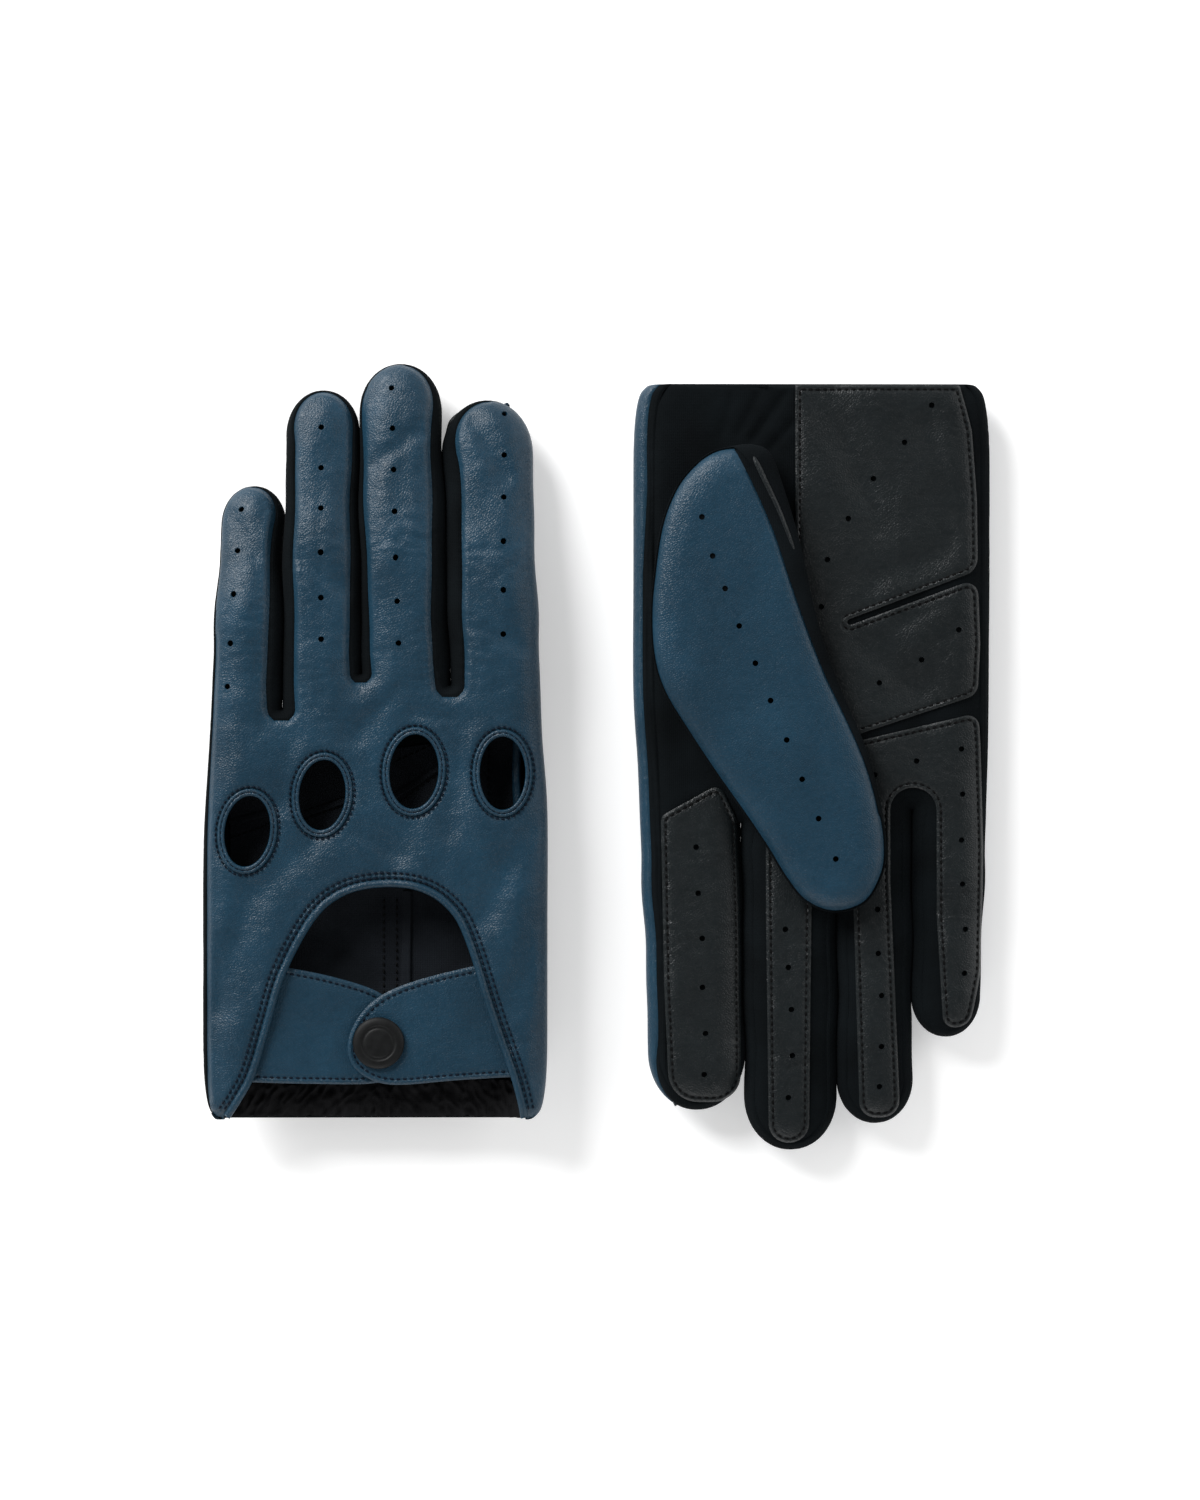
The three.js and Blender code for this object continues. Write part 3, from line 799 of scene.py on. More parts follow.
def thread(name, colour):
    """Twisted sewing thread, its colour darker in the twist's grooves and lighter on its ridges: painted shade and
    painted highlight.
    """
    material, tree, shader = start_material(name, colour, 0.75, 0.12)
    twist = texture(tree, "ShaderNodeTexWave", 900.0, object_place(tree), Distortion=1.5)
    add_bump(tree, shader, twist.outputs["Fac"], 0.6, 0.0001)
    # Painted shade and painted highlight: the colour follows the twist, dark in its grooves and light on its ridges.
    tone = ramp(tree, twist.outputs["Fac"], [(0.0, shade(colour, 0.6)), (1.0, shade(colour, 1.3))])
    tree.links.new(tone, shader.inputs["Base Color"])
    return material


def metal(name, colour, roughness, metallic):
    """Enamelled or blackened metal with fine specks and rubbed patches."""
    material, tree, shader = start_material(name, colour, roughness, 0.2)
    shader.inputs["Metallic"].default_value = metallic
    where = object_place(tree)
    specks = texture(tree, "ShaderNodeTexNoise", 4200.0, where, Detail=2.0)
    rubbed = texture(tree, "ShaderNodeTexNoise", 500.0, where, Detail=5.0)
    add_bump(tree, shader, specks.outputs["Fac"], 0.35, 0.00006)
    vary_roughness(tree, shader, rubbed.outputs["Fac"], roughness - 0.12, roughness + 0.14)
    tone = ramp(tree, rubbed.outputs["Fac"], [(0.35, shade(colour, 0.8)), (0.7, shade(colour, 1.25))])
    tree.links.new(tone, shader.inputs["Base Color"])
    return material


MATERIALS = {}


def finishes():
    """The finishes, made once from the panel's colours."""
    if not MATERIALS:
        c = bpy.context.scene.glove_colours
        s = bpy.context.scene.glove_sizes
        MATERIALS.update(
            blue=leather("blue sheepskin", c.blue, s.grain, 0.38, 0.8),
            black=leather("black sheepskin", c.black, s.grain, 0.38, 0.8),
            fabric=jersey("black jersey", c.fabric, s.knit),
            # The lining's colour is lighter than the jersey's to make up for the little light inside the glove:
            # painted light.
            lining=jersey("brushed lining", c.lining, s.knit * 1.2),
            elastic=jersey("gathered elastic", c.elastic, s.knit * 1.4),
            blue_thread=thread("blue thread", c.blue_thread),
            black_thread=thread("black thread", c.black_thread),
            cap=metal("matt enamel", c.cap, 0.55, 0.0),
            steel=metal("blackened steel", c.steel, 0.4, 0.9),
        )
    return MATERIALS


# ---- Stitching ----
THREAD_RINGS = ((-0.5, 0.45, -0.22), (-0.28, 1.0, 0.12), (0.28, 1.0, 0.12), (0.5, 0.45, -0.22))


def stitches(glove, path, face, pitch=2.3, length=1.55, radius=0.24, closed=False, lift=0.0, lean=0.0, height=None):
    """Thread laid along a path on one face, stitch by stitch: points, faces and each face's flat middle."""
    path = resample(path, 0.4, closed)
    total = np.linalg.norm(np.diff(path, axis=0), axis=1).sum()
    count = max(1, int(round(total / pitch)))
    along = np.linspace(0, 1, len(path))
    at = (np.arange(count) + 0.5) / count
    centre = np.column_stack([np.interp(at, along, path[:, i]) for i in (0, 1)])
    ahead = np.column_stack([np.interp(np.minimum(at + 0.4 / total, 1), along, path[:, i]) for i in (0, 1)])
    behind = np.column_stack([np.interp(np.maximum(at - 0.4 / total, 0), along, path[:, i]) for i in (0, 1)])
    d = ahead - behind
    d /= np.maximum(np.linalg.norm(d, axis=1), 1e-9)[:, None]
    if lean:
        c, s = math.cos(math.radians(lean)), math.sin(math.radians(lean))
        d = np.column_stack([d[:, 0] * c - d[:, 1] * s, d[:, 0] * s + d[:, 1] * c])
    height = height or (lambda p: glove.height(p, face))
    z = height(centre)
    slope_x = (height(centre + (0.4, 0)) - height(centre - (0.4, 0))) / 0.8
    slope_y = (height(centre + (0, 0.4)) - height(centre - (0, 0.4))) / 0.8
    up = np.column_stack([-slope_x, -slope_y, np.ones(count)]) * face
    up /= np.linalg.norm(up, axis=1)[:, None]
    forward = np.column_stack([d, d[:, 0] * slope_x + d[:, 1] * slope_y])
    forward /= np.linalg.norm(forward, axis=1)[:, None]
    across = np.cross(up, forward)
    base = np.column_stack([centre, z]) + up * lift
    angles = np.arange(6) * math.pi / 3
    rings = []
    for t, r, rise in THREAD_RINGS:
        middle = base + forward * (t * length) + up * rise
        for a in angles:
            rings.append(middle + across * (math.cos(a) * r * radius) + up * (math.sin(a) * r * radius))
    points = np.stack(rings, 1).reshape(-1, 3)
    one = grid_faces(4, 6, closed=True)[:, ::-1]
    caps = np.array([(0, i + 1, i) for i in range(1, 5)] + [(18, 18 + i, 18 + i + 1) for i in range(1, 5)])[:, ::-1]
    one = np.vstack([one, caps])
    faces = (one[None] + (np.arange(count) * 24)[:, None, None]).reshape(-1, 3)
    return points, faces, np.repeat(centre, len(one), 0)


def gather(rows):
    """Several stitch rows as one surface."""
    points, faces, middles, offset = [], [], [], 0
    for p, f, m in rows:
        points.append(p)
        faces.append(f + offset)
        middles.append(m)
        offset += len(p)
    return (np.vstack(points), np.vstack(faces)), np.vstack(middles)


def sew(glove, rows, material, slot, names):
    """Thread pieces, split between the hand and the fingers."""
    (points, faces), middles = gather(rows)
    points = glove.settle(points)
    owner = glove.finger_of(middles)
    for i in range(-1, 4):
        finger = FINGERS[i] if i >= 0 else None
        mine = faces[owner == i]
        if len(mine):
            used, local = np.unique(mine, return_inverse=True)
            piece = new_piece(names(finger), glove, points[used], local.reshape(-1, 3), material)
            attach(piece, glove, finger, slot)


# ---- Back ----
def ring_lines(outline, offsets, step=0.7, closed=True):
    """Points along an outline at several offsets from it."""
    line = resample(outline, step, closed)
    n = right_normals(line, closed)
    return np.vstack([line - n * o for o in offsets])


def knuckle_ring(name, grow):
    k = KNUCKLES[name]
    return ellipse(k["at"], [h + grow for h in k["half"]], k["lean"])


def keyhole_line(grow):
    line = curve(KEYHOLE, 0.8)
    return line - right_normals(line) * grow


def air_hole(at, count=12):
    return ellipse(at, (HOLE_RADIUS, HOLE_RADIUS), count=count)


def air_holes():
    spots = []
    for first, last, count in BACK_HOLES.values():
        spots.extend(np.linspace(first, last, count))
    return [air_hole(s, 14) for s in spots]


BACK_EDGE = 1.65  # from a knuckle hole to the edge of the back's leather
KEYHOLE_EDGE = 1.9
GROOVES = {"knuckle": 2.3, "keyhole": (2.6, 3.9)}


def groove(p, lines, depth=0.42, half=0.5):
    out = np.zeros(len(p))
    for line, closed in lines:
        out += depth * np.exp(-((close_by(p, line, 4 * half, closed) / half) ** 2))
    return out


def back_groove_lines():
    lines = [(knuckle_ring(name, GROOVES["knuckle"]), True) for name in FINGERS]
    return lines + [(keyhole_line(g), False) for g in GROOVES["keyhole"]]


def back_surface(glove):
    seam = glove.seam(BACK_SEAM)
    top = glove.edge + glove.edge_normal * np.maximum(seam, WRAP)[:, None]
    keyhole = keyhole_line(KEYHOLE_EDGE)
    keyhole = keyhole[(keyhole[:, 1] > 0.3) & (np.abs(keyhole[:, 0]) < glove.wrist_half - 2)]
    outline = np.vstack([top, keyhole[::-1]])
    holes = [knuckle_ring(name, BACK_EDGE) for name in FINGERS] + air_holes()
    lines = back_groove_lines()
    extra = np.vstack([ring_lines(line, (-0.45, 0, 0.45), closed=c) for line, c in lines])
    lip = np.vstack([top + glove.edge_normal * o for o in (0.45, 0.95, 1.6, 2.4)])
    extra = np.vstack([extra, lip[glove.read(glove.inset_field, lip, glove.cell) > 1.1]])
    flat, faces = fill(outline, holes, 1.05, extra)
    z = glove.height(flat, 1)
    from_seam = nearest(flat, top[seam > WRAP - 0.05])
    z -= 0.7 * np.exp(-((from_seam / 0.7) ** 2)) - 0.22 * np.exp(-(((from_seam - 1.7) / 0.8) ** 2))
    z -= groove(flat, lines)
    for name in FINGERS:
        z -= 0.35 * np.exp(-((close_by(flat, knuckle_ring(name, BACK_EDGE), 2, True) / 0.5) ** 2))
    z -= 0.35 * np.exp(-((close_by(flat, keyhole_line(KEYHOLE_EDGE), 2) / 0.6) ** 2))
    panel = (np.column_stack([flat, z]), faces)
    drawn = {(round(x, 3), round(y, 3)): h for (x, y), h in zip(flat, z)}
    parts = [panel]
    wrap = seam < WRAP - 0.15
    plane, inset, face, a = glove.bands(np.full(len(seam), WRAP), np.minimum(seam, WRAP))
    n, rows = inset.shape
    p2, inset, upper = plane.reshape(-1, 2), inset.reshape(-1), face.reshape(-1) > 0
    z = np.where(upper, glove.height(p2, 1, inset), glove.height(p2, -1, inset))
    last = np.abs(a - a[:, -1:]).reshape(-1)
    tucked = np.repeat(np.clip((WRAP - seam) / 0.8, 0, 1), rows)
    z = z + tucked * 0.6 * np.exp(-((last / 0.75) ** 2)) * np.where(upper, -1, 1)
    for i in range(0, n * rows, rows):
        z[i] = drawn.get((round(p2[i, 0], 3), round(p2[i, 1], 3)), z[i])
    index = grid_faces(n, rows)
    both = wrap[:-1] & wrap[1:]
    index = index[np.repeat(both, 2 * (rows - 1))]
    parts.append((np.column_stack([p2, z]), index[:, ::-1]))
    return weld(parts)


def back_leather(glove):
    points, faces = back_surface(glove)
    centres = points[faces].mean(1)[:, :2]
    points = glove.settle(points)
    split_and_make(
        glove, (points, faces), centres, finishes()["blue"], "blue_leather", THICK["leather"],
        lambda f: f"{glove.side}_{f}_leather" if f else f"{glove.side}_back_leather",
        lambda f: [f"{glove.side}_{f}_tip_back"] if f else [f"{glove.side}_back_panel"],
    )


# ---- Fabric sides and palm ----
def side_bands(glove):
    """The fabric between the back's seam and the palm's seam, all along the edge."""
    seam, palm = glove.seam(BACK_SEAM), glove.seam(PALM_SEAM)
    plane, inset, face, a = glove.bands(seam, -palm, rows=22)
    n, rows = inset.shape
    p2, inset, face = plane.reshape(-1, 2), inset.reshape(-1), face.reshape(-1)
    z = np.where(face > 0, glove.height(p2, 1, inset), glove.height(p2, -1, inset))
    first = np.abs(a - a[:, :1]).reshape(-1)
    last = np.abs(a - a[:, -1:]).reshape(-1)
    dip = 0.6 * np.exp(-((first / 0.75) ** 2))
    z = z - np.where(face > 0, 1, -1) * (dip + 0.35 * np.exp(-((last / 0.6) ** 2)))
    points, faces = np.column_stack([p2, z]), grid_faces(n, rows)[:, ::-1]
    along = np.repeat(glove.edge_along, rows)
    wave = smooth_noise(np.column_stack([along, a.reshape(-1)]), (22, 1.5), 4.2)
    pucker = smooth_noise(np.column_stack([along, a.reshape(-1)]), (2.6, 9), 6.1)
    webs = np.array([at for name, at in glove.marks if name.startswith("web")])
    near = np.exp(-((np.abs(along[:, None] - webs[None]).min(1) / 7) ** 2))
    free = np.clip(np.minimum(first, last) / 1.5, 0, 1)
    rise = free * (0.42 * wave + (0.1 + 0.6 * near) * pucker)
    rise = np.where(inset < 3, np.clip(rise, -0.03, 0.05), rise) * np.clip(p2[:, 1] / 4, 0, 1)
    return (points + vertex_normals(points, faces) * rise[:, None], faces), p2, rows


def palm_fabric_surface(glove):
    palm = glove.seam(PALM_SEAM)
    line = glove.edge + glove.edge_normal * palm[:, None]
    flat, faces = fill(line, (), 1.3)
    z = glove.height(flat, -1) + 0.35 * np.exp(-((nearest(flat, line) / 0.6) ** 2))
    return np.column_stack([flat, z]), faces[:, ::-1]


SIDE_PIECES = (
    ("pinky_side", "pinky_side_gusset", None, "pinky_tip"),
    ("ring_pinky", "fourchette_ring_pinky", "pinky_tip", "ring_tip"),
    ("middle_ring", "fourchette_middle_ring", "ring_tip", "middle_tip"),
    ("index_middle", "fourchette_index_middle", "middle_tip", "index_tip"),
    ("index_side", "index_side_gusset", "index_tip", None),
)


def fabric(glove):
    """The fourchettes, the side gussets and the palm's fabric, with one sleeve of it for each finger."""
    (points, faces), plan, rows = side_bands(glove)
    palm_points, palm_faces = palm_fabric_surface(glove)
    along = np.repeat(glove.edge_along[:-1], 2 * (rows - 1))
    centres = plan[faces].mean(1)
    palm_centres = palm_points[palm_faces].mean(1)[:, :2]
    owner, palm_owner = glove.finger_of(centres, glove.finger_along(along)), glove.finger_of(palm_centres)
    normals = vertex_normals(points, faces)
    palm_normals = vertex_normals(palm_points, palm_faces)
    settled = glove.settle(points, plan, glove.finger_along(np.repeat(glove.edge_along, rows)))
    palm_settled = glove.settle(palm_points)
    material = finishes()["fabric"]

    def sheet(name, groups, finger, *nodes):
        """One piece out of parts of the side bands and of the palm."""
        all_p, all_f, all_c, offset = [], [], [], 0
        for source, source_normals, chosen in groups:
            if not len(chosen):
                continue
            used, local = np.unique(chosen, return_inverse=True)
            p, f, c = thicken(source[used], local.reshape(-1, 3), source_normals[used], THICK["jersey"])
            all_p.append(p)
            all_f.append(f + offset)
            all_c.append(c)
            offset += len(p)
        piece = new_piece(name, glove, np.vstack(all_p), np.vstack(all_f), material, np.vstack(all_c))
        attach(piece, glove, finger, "stretch_fabric", *nodes)

    for name, node_name, start, stop in SIDE_PIECES:
        low = glove.mark(start) if start else -1
        high = glove.mark(stop) if stop else 1e9
        chosen = faces[(owner < 0) & (along >= low) & (along < high)]
        sheet(f"{glove.side}_{name}_fabric", [(settled, normals, chosen)], None, f"{glove.side}_{node_name}")
    sheet(f"{glove.side}_palm_fabric", [(palm_settled, palm_normals, palm_faces[palm_owner < 0])], None,
          f"{glove.side}_palm_panel")
    for i, finger in enumerate(FINGERS):
        sheet(f"{glove.side}_{finger}_sleeve",
              [(settled, normals, faces[owner == i]), (palm_settled, palm_normals, palm_faces[palm_owner == i])],
              finger, f"{glove.side}_{finger}_tip_sleeve")


# ---- Rolled edges ----
# Sections of the rolled leather edges: how far out from the opening, and how high over the leather.
KNUCKLE_SECTION = [(2.15, -0.7), (2.0, -0.02), (1.68, 0.4), (1.32, 0.42), (1.02, 0.0), (0.78, 0.32), (0.42, 0.48),
                   (0.06, 0.2), (-0.12, -0.35), (0.1, -1.0), (0.7, -1.35), (1.8, -1.3)]
KEYHOLE_SECTION = [(2.3, -0.75), (2.15, -0.1), (1.75, 0.4), (1.2, 0.68), (0.6, 0.6), (0.12, 0.25), (-0.08, -0.3),
                   (0.1, -0.95), (0.7, -1.3), (1.7, -1.25)]


def rolled_edge(glove, line, section, closed):
    """A section swept along an opening's edge: points and faces."""
    out = right_normals(line, closed)
    points = []
    for x, y, nx, ny in np.column_stack([line, -out]):
        for away, up in section:
            points.append((x + nx * away, y + ny * away, up))
    points = np.array(points)
    points[:, 2] += glove.height(points[:, :2], 1)
    k = len(section)
    n = len(line)
    faces = grid_faces(n + 1 if closed else n, k, closed=True)
    if closed:
        faces %= n * k
    else:
        fan = [(0, i, i + 1) for i in range(1, k - 1)]
        last = (n - 1) * k
        faces = np.vstack([faces, fan, [(last + a, last + c, last + b) for a, b, c in fan]])
    return points, faces


def bindings(glove):
    blue = finishes()["blue"]
    for name in FINGERS:
        k = KNUCKLES[name]
        line = resample(ellipse(k["at"], k["half"], k["lean"], 120), 0.55, True)
        points, faces = rolled_edge(glove, line[::-1], KNUCKLE_SECTION, True)
        piece = new_piece(f"{glove.side}_{name}_knuckle_edge", glove, points, faces[:, ::-1], blue)
        attach(piece, glove, None, "blue_leather", f"{glove.side}_knuckle_binding_{name}")
    line = curve(KEYHOLE, 0.55)
    line = line[(line[:, 1] > 0.2)]
    points, faces = rolled_edge(glove, line, KEYHOLE_SECTION, False)
    points[:, 1] = np.maximum(points[:, 1], 0.1)
    piece = new_piece(f"{glove.side}_keyhole_edge", glove, points, faces, blue)
    attach(piece, glove, None, "blue_leather", f"{glove.side}_keyhole_binding")


def back_stitching(glove):
    material = finishes()["blue_thread"]
    rows = []
    for name in FINGERS:
        rows.append(stitches(glove, knuckle_ring(name, 2.65), 1, 1.7, 1.1, 0.25, True, -0.1))
        rows.append(stitches(glove, knuckle_ring(name, 1.02), 1, 1.75, 1.2, 0.15, True, 0.1))
    for grow in (2.75, 4.2):
        line = keyhole_line(grow)
        rows.append(stitches(glove, line[line[:, 1] > 2.5], 1, 1.9, 1.3, 0.27, False, -0.12))
    sew(glove, rows, material, "blue_leather", lambda f: f"{glove.side}_back_stitching")


# ---- Palm patches ----
# Drawn for the right glove's sizes: corners (x, y, radius).
PALM_PATCHES = {
    "palm": [
        (5.1, 0.5, 0), (5.1, 64, 14), (1.5, 92, 20), (13.9, 118, 12), (13.9, 160, 20), (13.0, 227.6, 6),
        (1.0, 227.6, 6), (0.3, 160, 20), (0.0, 126.0, 6.1), (-12.3, 126.0, 6.1), (-12.4, 160, 20), (-14.2, 220.2, 5),
        (-26.4, 219.8, 5), (-23.4, 150, 20), (-23.3, 121.1, 6.8), (-37.1, 121.1, 6.8), (-37.3, 160, 20),
        (-39.2, 193.5, 4), (-47.4, 192.5, 5), (-50.9, 176, 10), (-51.5, 140, 20), (-50.5, 108, 10), (-49.9, 98.6, 3.5),
        (-13.1, 107.2, 0.7), (-12.6, 105.5, 0.7), (-49.6, 93.2, 4.5), (-50.4, 78, 10), (-49.6, 58.3, 3.6),
        (-10.8, 72.6, 0.9), (-10.1, 71.0, 0.9), (-49.6, 56.0, 5.5), (-49.4, 35, 20), (-47.8, 14, 12), (-44.2, 0.5, 0),
    ],
    "index": [(45.4, 129.6, 3), (27.8, 119.9, 3), (22.4, 131, 5), (21.4, 165, 20), (21.2, 215.6, 8), (42.8, 215.2, 9),
              (44.4, 180, 20)],
}
PALM_HOLES = [
    (-35.7, 6.6), (-27.6, 17.7), (-18.3, 28.5), (-10.8, 40.5), (-4.5, 52.8), (-2.7, 66.9), (-43.8, 73.8),
    (-32.7, 82.8), (-20.1, 89.7), (-44.7, 109.5), (-31.2, 113.1), (-18.6, 117.3), (-45, 123), (-44.7, 136.8),
    (-45, 150), (-45.9, 163.5), (-45.6, 176.7), (-19.5, 157.5), (-19.7, 170.7), (-20.7, 183.3), (-20.7, 198.6),
    (-20.1, 210.6), (8.1, 163.5), (7.2, 174.9), (6.3, 187.5), (6, 201.3), (7.2, 213.9), (34.8, 138.9),
    (34.2, 152.7), (33, 166.2), (32.9, 180.9), (32, 194.7), (32.4, 207),
]


def fit_palm(glove, points):
    """Moves a line of the right glove's palm pattern to this glove's sizes."""
    points = np.array(points, float)
    if glove.turned:
        return points
    other = GLOVES["right"]
    out = points.copy()
    for i, (x, y) in enumerate(points):
        at, mine = [], []
        for name in FINGERS[::-1]:
            for sign in (-1, 1):
                f = other["fingers"][name]
                t = (max(y, 118) - WEB_Y) / (f["tip"] - WEB_Y)
                at.append(f["across"][0] + (f["across"][1] - f["across"][0]) * t
                          + sign * (f["wide"][0] + (f["wide"][1] - f["wide"][0]) * t) / 2)
                own, half = glove.finger_at(name, WEB_Y + (glove.fingers[name]["tip"] - WEB_Y) * t)
                mine.append(own + sign * half)
        on_finger = np.interp(x, at, mine)
        share = np.clip((y - 85) / 33, 0, 1)
        out[i, 0] = on_finger * share + x * glove.half_width / other["half_width"] * (1 - share)
        if y > WEB_Y:
            name = min(FINGERS, key=lambda n: abs(other["fingers"][n]["across"][0] - x))
            own_tip, other_tip = glove.fingers[name]["tip"], other["fingers"][name]["tip"]
            out[i, 1] = WEB_Y + (y - WEB_Y) * (own_tip - WEB_Y) / (other_tip - WEB_Y)
        elif y > 118:
            out[i, 1] = y - (y - 118) * 0.1
    return out


def patch_height(glove, p):
    return glove.height(p, -1) - THICK["leather"]


def palm_leather(glove):
    threads = []
    holes = fit_palm(glove, PALM_HOLES)
    pieces = []
    for name, corners in PALM_PATCHES.items():
        outline = fit_palm(glove, fillet(corners, 0.7))
        mine = [air_hole(h) for h in holes if inside(h[None], outline)[0]]
        inward = inward_normals(outline)
        extra = np.vstack([outline + inward * o for o in (0.35, 0.75, 1.15, 1.55, 1.95)])
        extra = extra[inside(extra, outline)]
        extra = extra[nearest(extra, outline) > 0.3]
        flat, faces = fill(outline, mine, 1.1, extra)
        d = distance(flat, outline, True)
        z = patch_height(glove, flat)
        lip = 0.32 * np.exp(-(((d - 0.6) / 0.42) ** 2)) - 0.42 * np.exp(-(((d - 1.35) / 0.42) ** 2))
        z = z - lip + 0.35 * np.exp(-((d / 0.3) ** 2))
        pieces.append((np.column_stack([flat, z]), faces[:, ::-1]))
        sewn = outline + inward * 1.35
        keep = nearest(sewn, outline) > 1.2
        for run in runs(sewn, keep):
            threads.append(stitches(glove, run, -1, 2.15, 1.45, 0.27, False, -0.06,
                                    height=lambda p: patch_height(glove, p) + 0.25))
    for (points, faces), name in zip(pieces, PALM_PATCHES):
        centres = points[faces].mean(1)[:, :2]
        label = "palm_patch" if name == "palm" else "base_patch"
        split_and_make(
            glove, (glove.settle(points), faces), centres, finishes()["black"], "black_leather", THICK["leather"],
            lambda f: f"{glove.side}_{f}_{label}" if f else f"{glove.side}_{label}",
            lambda f: [f"{glove.side}_palm_patch"] if name == "palm" and not f else [],
        )
    sew(glove, threads, finishes()["black_thread"], "black_leather",
        lambda f: f"{glove.side}_{f or 'palm'}_palm_stitching")


def runs(line, keep):
    """The unbroken runs of a closed line's kept points."""
    if keep.all():
        return [np.vstack([line, line[:1]])]
    start = int(np.argmin(keep))
    line, keep = np.roll(line, -start, 0), np.roll(keep, -start)
    out, run = [], []
    for p, k in zip(line, keep):
        if k:
            run.append(p)
        elif len(run) > 4:
            out.append(np.array(run))
            run = []
        else:
            run = []
    if len(run) > 4:
        out.append(np.array(run))
    return out


# ---- Thumb ----
THUMB_EDGE = [
    (17.5, 19.4), (23.4, 19.6), (31.8, 22.3), (40, 31), (44.8, 43), (47.2, 58.8), (48, 70), (47.2, 82),
    (44, 92.5), (36.4, 105), (28.2, 117.3), (20.6, 128), (13.3, 138.8), (8, 147.5), (2, 154.6), (-6.4, 157.7),
    (-15.4, 154.8), (-20.4, 146), (-21.2, 137), (-19.9, 127.5), (-17.2, 116), (-13.4, 104.9), (-8, 92.5),
    (-1.4, 74.2), (4.6, 47.8), (9.6, 31), (13.2, 21.8),
]
THUMB_LEATHER = [
    (23.4, 20.3), (27.6, 20.9), (31.6, 22.8), (36, 26.4), (39.7, 31.2), (44.5, 43), (46.9, 58.8), (47.7, 70),
    (46.9, 82), (43.7, 92.4), (36.1, 104.9), (27.9, 117.1), (20.3, 127.8), (13.0, 138.6), (7.7, 147.3),
    (1.8, 154.3), (-6.4, 157.3), (-15.2, 154.5), (-20.0, 146), (-20.6, 137), (-19.2, 127.8), (-16.4, 117),
    (-12.4, 106.5), (-6.6, 94.2), (-3.2, 87), (2.2, 73.2), (7.0, 59.4), (11.6, 45.6), (17.0, 33), (20.4, 26),
]
THUMB_MIDDLE = -4.2
THUMB_RISE = {-1: 4.0, 1: 3.5}
THUMB_ROLL = 8.5
THUMB_HOLES = [
    (33.3, 40.5), (30.1, 52.1), (26.4, 61.8), (22.2, 72.9), (17.4, 84), (12.9, 95.1), (8.1, 106.8), (3.5, 118.5),
    (-1.4, 130.2), (-6.5, 142.2),
]
THUMB_OPENING = {"at": (33, 62), "half": (9, 22)}


def thumb_height(p, face, edge, inset=None):
    """Height of the folded thumb: face -1 is its outer side, away from the palm."""
    d = distance(p, edge, True) if inset is None else inset
    t = np.clip(d / THUMB_ROLL, 0, 1)
    relief = 0.3 * (smooth_noise(p, (14, 22), 5.5 + face) - 0.5) + 0.12 * smooth_noise(p, (5, 7), 8.5)
    z = THUMB_MIDDLE + face * (THUMB_RISE[face] * np.sqrt(1 - (1 - t) ** 2) + relief * np.clip(d / 5, 0, 1))
    return np.maximum(z, -THUMB_DEPTH)


